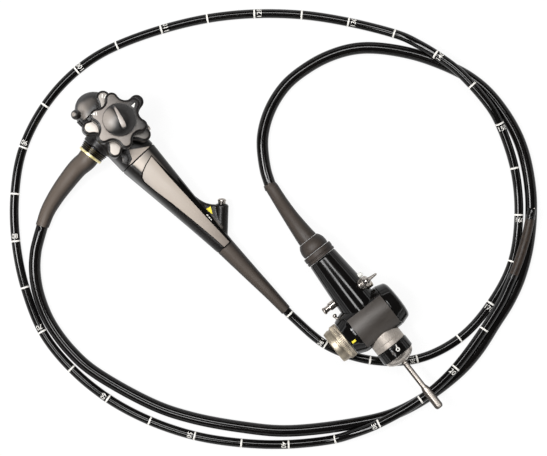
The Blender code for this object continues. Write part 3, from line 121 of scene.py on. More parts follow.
# The base of every finish: two tones in soft patches, a roughness that wanders with them and
# a grain in the bump. Patch, grain and depth are in millimetres, and stretch draws them out
# one way. Painted sheen: faces turned a given way get a paler tone, as a highlight would give them;
# its tuple holds that tone, the way, how squarely from and to, and the line along which it goes from dark to pale.
socketNames = {"specular": "Specular IOR Level", "metallic": "Metallic", "coat": "Coat Weight",
    "coatRough": "Coat Roughness"}
slotOf = {}


def surface(name, tones, patch, rough, grain, depth, slotName=None, group=None, stretch=(1, 1, 1), worn=None,
        **sockets):
    material = bpy.data.materials.new(name)
    material.use_nodes = True
    slotOf[name] = slotName
    tree = material.node_tree
    shader = tree.nodes["Principled BSDF"]
    for key, value in sockets.items():
        shader.inputs[socketNames[key]].default_value = value
    source = addNode(tree, "ShaderNodeTexCoord").outputs["Object"]
    lie = groups.get(group, {"at": (0, 0, 0), "turn": (0, 0, 0)})
    spot = addNode(tree, "ShaderNodeMapping", {
        "vector_type": "TEXTURE", "Location": Vector(lie["at"]) * mm,
        "Rotation": [radians(a) for a in lie["turn"]]}, {"Vector": source})
    drawn = addNode(tree, "ShaderNodeMapping", {"Scale": stretch}, {"Vector": spot.outputs[0]})
    patches = addNode(tree, "ShaderNodeTexNoise", {"Scale": 1000 / patch, "Detail": 3.0},
        {"Vector": drawn.outputs[0]})
    stops = ((0.36, hexLinear(tones[0])), (0.66, hexLinear(tones[1])))
    tone = addNode(tree, "ShaderNodeValToRGB", {"stops": stops}, {"Fac": patches.outputs["Fac"]}).outputs["Color"]
    # Painted sheen: the pale tone mixed in on faces turned the given way, graded along a line across the part
    if worn:
        sheenTone, way, (start, full), line, (dark, pale) = worn
        faces = addNode(tree, "ShaderNodeNewGeometry").outputs
        facing = addNode(tree, "ShaderNodeVectorMath", {"operation": "DOT_PRODUCT", 1: way}, {0: faces["Normal"]})
        flat = addNode(tree, "ShaderNodeMapRange", {
            "interpolation_type": "SMOOTHSTEP", "From Min": start, "From Max": full},
            {"Value": facing.outputs["Value"]})
        across = addNode(tree, "ShaderNodeVectorMath", {"operation": "DOT_PRODUCT", 1: line}, {0: source})
        share = addNode(tree, "ShaderNodeMapRange", {
            "From Min": dark * mm, "From Max": pale * mm}, {"Value": across.outputs["Value"]})
        sheenAmount = addNode(tree, "ShaderNodeMath", {"operation": "MULTIPLY"}, {
            0: flat.outputs["Result"], 1: share.outputs["Result"]})
        tone = addNode(tree, "ShaderNodeMix", {"data_type": "RGBA", 7: hexLinear(sheenTone)},
                       {0: sheenAmount.outputs[0], 6: tone}).outputs[2]
    roughness = addNode(tree, "ShaderNodeMapRange", {
        "From Min": 0.3, "From Max": 0.7, "To Min": rough[0], "To Max": rough[1]}, {"Value": patches.outputs["Fac"]})
    fine = addNode(tree, "ShaderNodeTexNoise", {"Scale": 1000 / grain, "Detail": 2.0}, {"Vector": drawn.outputs[0]})
    bump = addNode(tree, "ShaderNodeBump", {"Distance": depth * mm, "Strength": 1.0}, {"Height": fine.outputs["Fac"]})
    tree.links.new(tone, shader.inputs["Base Color"])
    tree.links.new(roughness.outputs["Result"], shader.inputs["Roughness"])
    tree.links.new(bump.outputs["Normal"], shader.inputs["Normal"])
    return material


knobWay = tuple((control.to_3x3() @ Vector((0, 0, 1))).normalized())
towardsLeft = (-1.0, 0.0, 0.0)
allOver = (towardsLeft, (-400.0, -200.0))
knobTones, headTones = ("#100e0d", "#171413"), ("#0f0d0c", "#171413")
# Spark-textured polysulfone: a deep brown-black, with a painted sheen on its flat tops, pale towards the lower left
# and dark towards the upper right
wheelSheen = (knobWay, (0.97, 0.997), (-0.86, -0.51, 0.0), (14.0, 74.0))
knobPlastic = surface("mouldedPolysulfone", knobTones, 14.0, (0.3, 0.36), 0.5, 0.003, "satin_plastic", "control",
                      worn=("#b9aea5", *wheelSheen), specular=0.28)
# The lower wheel carries the palest painted sheen
lowerKnobPlastic = surface("mouldedPolysulfoneLower", knobTones, 14.0, (0.3, 0.36), 0.5, 0.003, "satin_plastic",
    "control", worn=("#efe5da", *wheelSheen), specular=0.28)
# The same plastic on the domes and small parts: dark, with a painted highlight on the faces turned up and to the left
domePlastic = surface("mouldedPolysulfoneDome", knobTones, 14.0, (0.36, 0.42), 0.5, 0.003, "satin_plastic", "control",
                      worn=("#958d86", (-0.44, 0.02, 0.9), (0.82, 0.99), *allOver), specular=0.55)
# The crest of the brake knob's rib, with a painted highlight where it faces along the knob's axis
ribPlastic = surface("mouldedPolysulfoneRib", knobTones, 14.0, (0.3, 0.36), 0.5, 0.004, "satin_plastic", "control",
                     worn=("#a79e97", knobWay, (0.72, 0.93), *allOver), specular=0.8)
# The same plastic on the head and grip: even and dark
headPlastic = surface("mouldedPolysulfoneHead", headTones, 18.0, (0.3, 0.36), 0.5, 0.004, "satin_plastic",
    "control", specular=0.3)
# On the grip a painted sheen pales its up-facing top beside the head, and fades towards the far side
gripPlastic = surface("mouldedPolysulfoneGrip", headTones, 18.0, (0.3, 0.36), 0.5, 0.004, "satin_plastic", "control",
                      worn=("#cfc4b9", knobWay, (0.955, 0.992), (-0.72, -0.69, 0.0), (-7.0, 9.0)), specular=0.3)
# Satin paint over moulded plastic: warm grey and evenly dull, with a painted sheen that pales its up-facing top along
# the panel
panelPaint = surface("satinPaintedPanel", ("#736a64", "#7c726c"), 22.0, (0.36, 0.44), 0.5, 0.01, "pale_plastic",
    "control", worn=("#aea398", knobWay, (0.9, 0.99), (-0.69, 0.72, 0.0), (-10.0, 60.0)), specular=0.5)
# The head's cover is black under the wheels, with a painted pale sheen only on its up-facing end beside the grip
coverPaint = surface("satinPaintedCover", ("#0c0a09", "#141110"), 22.0, (0.36, 0.44), 0.5, 0.01, "pale_plastic",
    "control", worn=("#a89d93", knobWay, (0.85, 0.97), (0.187, -0.982, 0.0), (-122.9, -121.7)), specular=0.25)
# Moulded silicone rubber: brown-grey and dull, with a painted sheen along its up-facing top
bootRubber = surface("mouldedSiliconeRubber", ("#1c1714", "#241e1a"), 9.0, (0.42, 0.5), 0.6, 0.008, "boot_rubber",
                     worn=("#5a5048", (-0.2, 0.0, 0.98), (0.5, 1.0), towardsLeft, (-160.0, 100.0)), specular=0.3)
# Painted shade in the joint round the grip's panel: black and dull
jointShadow = surface("jointLine", ("#040404", "#080706"), 9.0, (0.6, 0.7), 0.6, 0.004, "satin_plastic",
    specular=0.05)
# Extruded polyurethane over braid: black and glossy, and the braid just lifts the skin
tubeSkin = surface("extrudedPolyurethane", ("#060505", "#0b0a09"), 25.0, (0.09, 0.12), 14.0, 0.004,
    "gloss_black", specular=0.34)
cordSkin = surface("extrudedPolyurethaneCord", ("#070606", "#0d0b0a"), 25.0, (0.1, 0.13), 14.0, 0.005,
    "gloss_black", specular=0.3)
# Fluorinated rubber of the bending cover: thin, dark brown-grey and slightly dull
coverRubber = surface("fluoroelastomerCover", ("#231b16", "#33281f"), 3.0, (0.36, 0.5), 0.5, 0.02,
    "gloss_black", specular=0.3)
# Wound thread under epoxy resin: glossy black, with the turns of thread in its face
wovenBinding = surface("epoxyBoundThread", ("#050505", "#0e0d0c"), 1.2, (0.12, 0.22), 0.45, 0.05,
    "gloss_black", specular=0.5)
# Compression-moulded black plastic of the connector: deep black, polished in its mould
glossPlastic = surface("polishedMouldedPlastic", ("#080707", "#0d0c0b"), 30.0, (0.08, 0.14), 9.0, 0.02,
    "gloss_black", "connector", specular=0.28)
# Anodised aluminium plate: flat grey-brown, with the rolling lines of its sheet
plateMetal = surface("anodisedAluminiumPlate", ("#38332f", "#4a4541"), 16.0, (0.42, 0.52), 0.5, 0.006,
    "plate_grey", "connector", (1.0, 0.3, 1.0), metallic=0.2)
# Stainless steel polished on a wheel: bright, with hardly a line
polishedSteel = surface("polishedStainlessSteel", ("#a39c96", "#b9b2ac"), 8.0, (0.2, 0.28), 1.2, 0.004,
    "polished_steel", "connector", metallic=1.0)
# Stainless steel blasted with beads: pale grey and even, with a fine sparkle
blastedSteel = surface("beadBlastedSteel", ("#9f978f", "#bab2aa"), 1.2, (0.5, 0.6), 0.45, 0.01, "brushed_metal",
    "connector", metallic=0.9)
# Stainless steel faced on a lathe: fine rings round its axis spread the light across it
turnedSteel = surface("turnedStainlessSteel", ("#a8a19a", "#c4bdb6"), 4.0, (0.3, 0.38), 0.6, 0.004,
    "polished_steel", "connector", (1.0, 0.04, 0.04), metallic=1.0)
# Drawn stainless tube, worn satin by its socket: dark grey, with a painted highlight as one pale line along its top
drawnSteel = surface("drawnStainlessTube", ("#3f3935", "#4d4641"), 20.0, (0.36, 0.42), 6.0, 0.0005,
    "polished_steel", "connector", (0.1, 1.0, 1.0), ("#d3cac1", (0.1, 0.1, 0.99), (0.8, 1.0), towardsLeft,
    (-400.0, -300.0)), metallic=0.6)
# Nickel on turned brass: warm grey, its fine rings softened by the plating
turnedNickel = surface("nickelPlatedBrass", ("#8d8376", "#b3a997"), 2.5, (0.36, 0.46), 0.4, 0.008,
    "brushed_metal", "connector", (0.04, 1.0, 0.04), metallic=1.0)
# Electroplated gold on brass: pale yellow and bright
giltMetal = surface("goldPlatedBrass", ("#efe0a0", "#f8efc8"), 2.0, (0.34, 0.42), 0.3, 0.004, "gilt_metal",
    "control", metallic=0.6)
# Brass rings under dark lacquer: only a dull gold line shows
lacqueredBrass = surface("lacqueredBrass", ("#4d3f1f", "#6b5a2c"), 2.0, (0.3, 0.4), 0.3, 0.006, "gilt_metal",
    "control", metallic=0.8)
# Screen-printed ink: dead flat, a little thin in places
whiteInk = surface("screenPrintedWhite", ("#d9d6d0", "#f2f0ea"), 0.8, (0.5, 0.62), 0.3, 0.004, specular=0.3)
yellowInk = surface("screenPrintedYellow", ("#e6d22e", "#f2e352"), 0.8, (0.5, 0.6), 0.3, 0.004, specular=0.3)
# Natural nylon: milky and softly shining
milkyNylon = surface("naturalNylon", ("#d8d7d0", "#ecebe6"), 3.0, (0.25, 0.35), 0.5, 0.006, "clear_nylon",
    specular=0.5)
# Ground optical glass seated over a dark bore: nearly black, with a clean spark
opticalGlass = surface("groundOpticalGlass", ("#10141a", "#1a222b"), 2.0, (0.02, 0.04), 1.0, 0.0005, "lens_glass",
                       coat=1.0, coatRough=0.02)
# Fused glass fibres, ground flat: pale, with the fine cells of the bundle
fibreGlass = surface("fusedFibreBundle", ("#b9c2c6", "#e6ecee"), 0.25, (0.1, 0.25), 0.2, 0.004, "lens_glass",
                     coat=0.6, coatRough=0.03)
# Anodised aluminium drums and post, seen only through the gaps of the stack: pale satin metal
anodisedAluminium = surface("anodisedAluminium", ("#8f8a86", "#a7a29d"), 2.0, (0.3, 0.4), 0.3, 0.01,
    "brushed_metal", "control", metallic=1.0)
print("finishes made")


# A line rounded at its corners: each point is (height, radius) or (height, radius, rounding)
def roundedLine(points, segments=5):
    line = []
    for i, point in enumerate(points):
        here = Vector(point[:2])
        rounding = point[2] if len(point) > 2 else 0.0
        if not rounding or i in (0, len(points) - 1):
            line.append(here)
            continue
        before, after = Vector(points[i - 1][:2]), Vector(points[i + 1][:2])
        reach = min(rounding, (before - here).length * 0.48, (after - here).length * 0.48)
        start = here + (before - here).normalized() * reach
        end = here + (after - here).normalized() * reach
        for k in range(segments + 1):
            t = k / segments
            line.append(start * (1 - t) ** 2 + here * (2 * t * (1 - t)) + end * t ** 2)
    return line


# Skins rings of points; a ring of one point closes that end, and loop joins the last to the first
def skinRings(name, rings, loop=False, lengths=None):
    vertices, starts = [], []
    for ring in rings:
        starts.append(len(vertices))
        vertices += ring
    count = max(len(ring) for ring in rings)
    faces, corners = [], []
    pairs = list(zip(range(len(rings)), range(1, len(rings)))) + ([(len(rings) - 1, 0)] if loop else [])
    for a, b in pairs:
        va = lengths[a] if lengths else a / len(rings)
        vb = lengths[b] if lengths else b / len(rings)
        for i in range(count):
            j = (i + 1) % count
            ua, ub = i / count, (i + 1) / count
            if len(rings[a]) == 1:
                faces.append((starts[a], starts[b] + j, starts[b] + i))
                corners += [(ua, va), (ub, vb), (ua, vb)]
            elif len(rings[b]) == 1:
                faces.append((starts[a] + i, starts[a] + j, starts[b]))
                corners += [(ua, va), (ub, va), (ua, vb)]
            else:
                faces.append((starts[a] + i, starts[a] + j, starts[b] + j, starts[b] + i))
                corners += [(ua, va), (ub, va), (ub, vb), (ua, vb)]
    if not loop:
        for r in (0, len(rings) - 1):
            if len(rings[r]) > 1:
                faces.append(tuple(starts[r] + i for i in range(count)))
                corners += [(i / count, lengths[r] if lengths else 0.0) for i in range(count)]
    mesh = bpy.data.meshes.new(name)
    mesh.from_pydata([tuple(v) for v in vertices], [], faces)
    layer = mesh.uv_layers.new(name="alongAndRound")
    for slot, corner in zip(layer.data, corners):
        slot.uv = corner
    faceOutwards(mesh)
    return mesh


def faceOutwards(mesh):
    shape = bmesh.new()
    shape.from_mesh(mesh)
    bmesh.ops.recalc_face_normals(shape, faces=shape.faces)
    shape.to_mesh(mesh)
    shape.free()


# Spins a line of (height, radius, rounding) about the z of its place
def spinMesh(name, points, place, steps=72, loop=False):
    rings = []
    for height, radius in roundedLine(points):
        if radius < 1e-6 and not loop:
            rings.append([place @ Vector((0, 0, height * mm))])
        else:
            rings.append([place @ Vector((radius * mm * cos(tau * k / steps),
                                          radius * mm * sin(tau * k / steps), height * mm))
                          for k in range(steps)])
    return skinRings(name, rings, loop)


# Evenly spaced points on the centripetal curve through a route
def smoothPath(route, spacing):
    knots = [Vector(p) for p in route]
    knots = [2 * knots[0] - knots[1], *knots, 2 * knots[-1] - knots[-2]]
    fine = []
    for i in range(1, len(knots) - 2):
        p = knots[i - 1:i + 3]
        t = [0.0]
        for a, b in zip(p, p[1:]):
            t.append(t[-1] + (b - a).length ** 0.5)
        for k in range(24):
            u = t[1] + (t[2] - t[1]) * k / 24
            first = [p[m].lerp(p[m + 1], (u - t[m]) / (t[m + 1] - t[m])) for m in range(3)]
            second = [first[m].lerp(first[m + 1], (u - t[m]) / (t[m + 2] - t[m])) for m in range(2)]
            fine.append(second[0].lerp(second[1], (u - t[1]) / (t[2] - t[1])))
    fine.append(knots[-2])
    return evenPoints(fine, spacing)


def runningLengths(points):
    lengths = [0.0]
    for a, b in zip(points, points[1:]):
        lengths.append(lengths[-1] + (b - a).length)
    return lengths


def evenPoints(fine, spacing):
    lengths = runningLengths(fine)
    count = max(2, round(lengths[-1] / spacing))
    picked, at = [], 0
    for k in range(count + 1):
        want = lengths[-1] * k / count
        while at < len(fine) - 2 and lengths[at + 1] < want:
            at += 1
        picked.append(fine[at].lerp(fine[at + 1], (want - lengths[at]) / (lengths[at + 1] - lengths[at])))
    return picked


def valueAt(table, x):
    for (x0, v0), (x1, v1) in zip(table, table[1:]):
        if x <= x1:
            return v0 + (v1 - v0) * max(0.0, x - x0) / (x1 - x0)
    return table[-1][1]


# The way along a path at each point, and an across carried along it without twist
def pathFrames(points):
    frames, across = [], None
    for i, point in enumerate(points):
        way = (points[min(i + 1, len(points) - 1)] - points[max(i - 1, 0)]).normalized()
        if across is None:
            across = way.cross(Vector((0, 0, 1))).normalized()
        across = (across - way * across.dot(way)).normalized()
        frames.append((point, way, across, way.cross(across)))
    return frames


def circle(middle, across, up, radius, sides):
    return [middle + (across * cos(tau * k / sides) + up * sin(tau * k / sides)) * radius for k in range(sides)]


def tubeMesh(name, points, radii, sides):
    rings = [circle(point, across, up, radius, sides)
             for (point, way, across, up), radius in zip(pathFrames(points), radii)]
    return skinRings(name, rings, False, runningLengths(points))


# Ink laid on a piece where the photograph has it: each outline's corners are places in the
# photograph, in pixels from its upper left
def printed(name, outlines, pieceName, ink, body="body"):
    target = bpy.data.objects[pieceName].data
    tree = BVHTree.FromPolygons([v.co for v in target.vertices], [tuple(p.vertices) for p in target.polygons])
    marks = bmesh.new()
    for outline in outlines:
        shape = bmesh.new()
        shape.faces.new([shape.verts.new((x, y, 0)) for x, y in outline])
        bmesh.ops.subdivide_edges(shape, edges=shape.edges, cuts=3, use_grid_fill=True)
        bmesh.ops.triangulate(shape, faces=shape.faces)
        found = True
        for vertex in shape.verts:
            start, way = photoRay(vertex.co.x, vertex.co.y)
            place, normal = tree.ray_cast(start, way.normalized())[:2]
            found = found and place is not None
            if place:
                vertex.co = place + normal * inkHeight * mm
        if found:
            mesh = bpy.data.meshes.new(name)
            shape.to_mesh(mesh)
            marks.from_mesh(mesh)
        else:
            print("mark off the piece:", name)
        shape.free()
    mesh = bpy.data.meshes.new(name)
    marks.to_mesh(mesh)
    marks.free()
    return dress(name, mesh, ink, body, slotName="")


inkHeight = 0.04


def laidOut(corners, x, y, turn):
    c, s = cos(radians(turn)), sin(radians(turn))
    return [(x + c * u - s * v, y + s * u + c * v) for u, v in corners]


def bar(x, y, turn, long, wide):
    return laidOut(((-long, -wide), (long, -wide), (long, wide), (-long, wide)), x, y, turn)


def arrow(x, y, turn, long, wide):
    return laidOut(((long, 0), (-long, wide), (-long, -wide)), x, y, turn)


# Links a mesh as a finished piece: at the origin, smooth and riding on its body.
# Unless nodes are given, it replaces the CAD node whose name it shares.
def dress(name, mesh, finish, body="body", nodes=None, sharp=40.0, slotName=None):
    mesh.name = name
    mesh.materials.clear()
    mesh.materials.append(finish)
    mesh.shade_smooth()
    mesh.set_sharp_from_angle(angle=radians(sharp))
    piece = bpy.data.objects.new(name, mesh)
    scene.collection.objects.link(piece)
    if body:
        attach(piece, body)
    if slotName is None:
        slotName = slotOf[finish.name]
    if nodes is None:
        shared = "".join("_" + letter.lower() if letter.isupper() else letter for letter in name)
        nodes = [shared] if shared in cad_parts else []
    if nodes:
        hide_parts(*nodes)
    return piece


# A finished piece turned on a lathe: its line spun about the z of its place
def turned(name, line, place, steps, finish, sharp=30, loop=False, **rest):
    return dress(name, spinMesh(name, line, place, steps, loop), finish, sharp=sharp, **rest)


# The mesh of an object with its modifiers worked in; the object itself goes
def settled(piece):
    bpy.context.view_layer.update()
    mesh = bpy.data.meshes.new_from_object(piece.evaluated_get(bpy.context.evaluated_depsgraph_get()))
    mesh.transform(piece.matrix_world)
    bpy.data.objects.remove(piece)
    return mesh


# Grows several closed meshes into one moulding, its inner corners filled by smoothing
def fused(name, meshes, voxel, rounds):
    whole = bmesh.new()
    for mesh in meshes:
        whole.from_mesh(mesh)
    joined = bpy.data.meshes.new(name)
    whole.to_mesh(joined)
    whole.free()
    piece = bpy.data.objects.new(name, joined)
    scene.collection.objects.link(piece)
    grow = piece.modifiers.new("grow", "REMESH")
    grow.mode = "VOXEL"
    grow.voxel_size = voxel * mm
    soften = piece.modifiers.new("soften", "SMOOTH")
    soften.factor = 0.5
    soften.iterations = rounds
    return settled(piece)


# A copy of a CAD node with its edges rounded over
def softened(node, width, segments=3, angle=32.0):
    shape = bmesh.new()
    shape.from_mesh(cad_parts[node].data)
    bmesh.ops.remove_doubles(shape, verts=shape.verts, dist=2e-6)
    bmesh.ops.dissolve_limit(shape, angle_limit=radians(1.0), verts=shape.verts, edges=shape.edges)
    bmesh.ops.recalc_face_normals(shape, faces=shape.faces)
    mesh = bpy.data.meshes.new(node + "Soft")
    shape.to_mesh(mesh)
    shape.free()
    piece = bpy.data.objects.new(node + "Soft", mesh)
    scene.collection.objects.link(piece)
    edge = piece.modifiers.new("edge", "BEVEL")
    edge.width = width * mm
    edge.segments = segments
    edge.limit_method = "ANGLE"
    edge.angle_limit = radians(angle)
    edge.harden_normals = False
    return settled(piece)


# Runs a node tree on an empty object and returns its plain mesh, laid in place
def treeMesh(name, tree, values, place=None, base=None):
    piece = bpy.data.objects.new(name, base or bpy.data.meshes.new(name))
    scene.collection.objects.link(piece)
    step = piece.modifiers.new("tree", "NODES")
    step.node_group = tree
    for item in tree.interface.items_tree:
        if item.item_type == "SOCKET" and item.in_out == "INPUT" and item.name in values:
            step[item.identifier] = values[item.name]
    mesh = settled(piece)
    if place:
        mesh.transform(place)
    faceOutwards(mesh)
    return mesh


def newTree(name, inputs):
    tree = bpy.data.node_groups.new(name, "GeometryNodeTree")
    tree.interface.new_socket(name="Geometry", in_out="INPUT", socket_type="NodeSocketGeometry")
    for label, kind in inputs.items():
        tree.interface.new_socket(name=label, in_out="INPUT", socket_type="NodeSocket" + kind)
    tree.interface.new_socket(name="Geometry", in_out="OUTPUT", socket_type="NodeSocketGeometry")
    return tree, addNode(tree, "NodeGroupInput").outputs


# Stands copies on points, and gives them the tree's finish
def standCopies(tree, given, links):
    stood = addNode(tree, "GeometryNodeInstanceOnPoints", {}, links)
    real = addNode(tree, "GeometryNodeRealizeInstances", {}, {"Geometry": stood.outputs["Instances"]})
    painted = addNode(tree, "GeometryNodeSetMaterial", {}, {
        "Geometry": real.outputs["Geometry"], "Material": given["Finish"]})
    addNode(tree, "NodeGroupOutput", {}, {"Geometry": painted.outputs["Geometry"]})


# Round ridges stood in a ring, as on a knurled collar
ridgeTree, given = newTree("ridgeRing", {
    "Count": "Int", "Ring Radius": "Float", "Ridge Radius": "Float", "Ridge Length": "Float", "Sides": "Int",
    "Finish": "Material"})
ring = addNode(ridgeTree, "GeometryNodeMeshCircle", {}, {"Vertices": given["Count"], "Radius": given["Ring Radius"]})
ridge = addNode(ridgeTree, "GeometryNodeMeshCylinder", {}, {
    "Vertices": given["Sides"], "Radius": given["Ridge Radius"], "Depth": given["Ridge Length"]})
standCopies(ridgeTree, given, {"Points": ring.outputs["Mesh"], "Instance": ridge.outputs["Mesh"]})

# Flat rings spaced along a path, as the printed depth marks are
bandTree, given = newTree("depthBands", {
    "Spacing": "Float", "Band Radius": "Float", "Band Width": "Float", "Ink Height": "Float", "Finish": "Material"})
line = addNode(bandTree, "GeometryNodeMeshToCurve", {}, {"Mesh": given["Geometry"]})
spots = addNode(bandTree, "GeometryNodeCurveToPoints", {"mode": "LENGTH"}, {
    "Curve": line.outputs["Curve"], "Length": given["Spacing"]})
facing = addNode(bandTree, "FunctionNodeAlignRotationToVector", {"axis": "Z"}, {"Vector": spots.outputs["Tangent"]})
hoop = addNode(bandTree, "GeometryNodeCurvePrimitiveCircle", {"Resolution": 32}, {"Radius": given["Band Radius"]})
profile = addNode(bandTree, "GeometryNodeCurvePrimitiveQuadrilateral", {}, {
    "Width": given["Ink Height"], "Height": given["Band Width"]})
band = addNode(bandTree, "GeometryNodeCurveToMesh", {}, {
    "Curve": hoop.outputs["Curve"], "Profile Curve": profile.outputs["Curve"]})
standCopies(bandTree, given, {
    "Points": spots.outputs["Points"], "Instance": band.outputs["Mesh"], "Rotation": facing.outputs["Rotation"]})
print("tools made")

# The tubes come first. Routes are x, y and lift over the table, in the layout's own millimetres
insertionTube = {
    "radius": 4.75, "sides": 28, "spacing": 3.0, "tip": (13.1, -86.7, 5.8),
    "route": (
        (21.6, -95.2, 0.2), (57.6, -124.7, 0), (105.8, -140.0, 0), (154.7, -137.6, 0), (197.6, -115.7, 0),
        (228.8, -81.2, 0), (251.5, -38.3, 0), (259.1, 9.5, 0), (255.4, 58.6, 1.2), (240.0, 104.6, 6.8),
        (227.6, 126.4, 11.0), (194.8, 163.2, 12.9), (174.7, 178.7, 12.8), (153.9, 192.3, 8.3), (130.8, 204.1, 1.7),
        (30.1, 225.1, 0), (-69.2, 221.4, 0), (-168.5, 191.3, 0), (-210.8, 163.8, 0), (-243.3, 126.7, 0),
        (-265.4, 81.7, 0), (-273.5, 32.3, 0), (-271.8, -17.2, 0), (-261.5, -66.0, 0), (-242.6, -112.0, 0),
        (-211.4, -150.4, 0), (-173.1, -181.2, 0), (-130.2, -203.8, 0), (-83.4, -219.4, 0), (-35.1, -227.0, 0),
        (13.9, -228.6, 0), (63.0, -223.2, 0.9), (84.6, -215.9, 7.9), (109.4, -205.4, 12.8), (152.6, -180.6, 12.9),
        (189.3, -148.0, 12.9), (236.7, -80.5, 12.9)),
}
universalCord = {
    "radius": 6.25, "sides": 32, "spacing": 3.0, "start": (-243.85, 2.2, 7.2), "end": (-3.7, 45.8, 7.1),
    "route": (
        (-248.4, -13.2, 0), (-251.0, -24.7, 0), (-252.1, -43.6, 0), (-249.0, -66.2, 0), (-240.7, -90.3, 0),
        (-231.1, -107.7, 0), (-214.3, -129.3, 0), (-191.8, -149.9, 0), (-127.2, -186.4, 0), (-87.1, -200.0, 0),
        (-33.3, -210.1, 0), (14.3, -214.2, 0), (91.3, -205.4, 0), (128.0, -195.8, 0), (163.1, -177.1, 0),
        (197.4, -150.1, 0), (215.7, -129.2, 0), (234.0, -100.7, 0), (248.0, -78.5, 0), (259.8, -52.6, 0),
        (268.9, -16.9, 0), (272.0, 27.0, 0), (266.9, 67.3, 0), (258.4, 94.4, 0), (244.4, 119.9, 0),
        (225.7, 143.3, 0), (207.4, 158.3, 0), (188.4, 168.7, 0), (150.4, 182.8, 0), (110.3, 189.8, 0),
        (86.0, 189.2, 0), (61.5, 182.6, 0), (37.4, 170.3, 0), (13.1, 150.8, 0), (-3.9, 124.1, 0),
        (-11.5, 95.0, 0), (-8.8, 63.0, 0)),
}
bending = {
    "start": (249.9, -52.3, 17.7), "heading": 67.0, "turn": 1.6, "links": 7, "pitch": 8.0, "baseLength": 4.0,
    "endGap": 1.95, "tipLength": 12.2, "coverRadius": 4.78, "coverWall": 0.4, "swell": 0.12, "wrinkle": 0.05,
    "wave": 1.9, "sides": 36, "blendReach": 3.4, "bindingLength": 5.2, "bindingRadius": 4.98, "bindingBore": 4.6,
}


def onLayout(point):
    return (Vector(point) + layoutShift) * mm


def lyingOn(point, radius):
    return onLayout((point[0], point[1], point[2] + radius))


# Short straight ends, square to what a path starts and stops against
def squareEnds(points, leaving, arriving):
    points.insert(1, points[0] + leaving.normalized() * 3 * mm)
    points.insert(-1, points[-1] - arriving.normalized() * 3 * mm)


# Lays a cord along its route; returns its piece, its middle line and its length
def layCord(name, cord, start, leaving, end, arriving, finish):
    path = smoothPath([start + leaving * gap * mm, *(lyingOn(p, cord["radius"]) for p in cord["route"]),
                       end - arriving * gap * mm], cord["spacing"] * mm)
    squareEnds(path, leaving, arriving)
    piece = dress(name, tubeMesh(name, path, [cord["radius"] * mm] * len(path), cord["sides"]), finish)
    return piece, path, runningLengths(path)[-1]


bendHeading = Vector((cos(radians(bending["heading"])), sin(radians(bending["heading"])), 0.0))
bendStart = onLayout(bending["start"])
tubeTip, cordTip, cordEnd = (onLayout(p) for p in (insertionTube["tip"], universalCord["start"],
    universalCord["end"]))
insertionLeaving = (lyingOn(insertionTube["route"][0], insertionTube["radius"]) - tubeTip).normalized()
cordLeaving = (lyingOn(universalCord["route"][0], universalCord["radius"]) - cordTip).normalized()
cordArriving = (cordEnd - lyingOn(universalCord["route"][-1], universalCord["radius"])).normalized()
insertionPiece, tubePath, tubeLength = layCord(
    "insertionTube", insertionTube, tubeTip, insertionLeaving, bendStart, bendHeading, tubeSkin)
cordPiece, cordPath, cordLength = layCord(
    "universalCord", universalCord, cordTip, cordLeaving, cordEnd, cordArriving, cordSkin)
print("tubes laid: %.4f m and %.4f m" % (tubeLength, cordLength))

# Depth marks: a ring every 50 mm from the tip, a number beside every second one
depthMarks = {"spacing": 50.0, "first": 137.8, "last": 36, "line": 12, "width": 1.8, "ink": 0.06,
              "digitHeight": 5.2, "gap": 1.6, "firstNumber": 200, "lastNumber": 1900, "firstMark": 150,
              "textScale": 1.38, "finest": 0.8}
tipLengthBeyond = (gap + bending["baseLength"] + bending["endGap"] + bending["pitch"] * bending["links"]
                   + bending["endGap"] + bending["tipLength"])
pathLengths = runningLengths(tubePath)


def pathSpot(distanceFromTip):
    want = tubeLength - (distanceFromTip - tipLengthBeyond) * mm
    i = max(1, min(len(tubePath) - 1, next((k for k, v in enumerate(pathLengths) if v >= want), len(tubePath) - 1)))
    share = (want - pathLengths[i - 1]) / (pathLengths[i] - pathLengths[i - 1])
    return tubePath[i - 1].lerp(tubePath[i], share), (tubePath[i] - tubePath[i - 1]).normalized()


steps = depthMarks["last"] * depthMarks["line"]
reach = depthMarks["spacing"] * depthMarks["last"]
markLine = [pathSpot(depthMarks["first"] + reach * k / steps)[0] for k in range(steps + 1)]
lineMesh = bpy.data.meshes.new("markLine")
lineMesh.from_pydata([tuple(p) for p in markLine], [(k, k + 1) for k in range(steps)], [])
justUnder = 0.99999
bandMesh = treeMesh("depthBands", bandTree, {
    "Spacing": (runningLengths(markLine)[-1] / depthMarks["last"]) * justUnder,
    "Band Radius": insertionTube["radius"] * mm,
    "Band Width": depthMarks["width"] * mm, "Ink Height": depthMarks["ink"] * mm, "Finish": whiteInk}, base=lineMesh)
bandPiece = dress("depthBands", bandMesh, whiteInk)

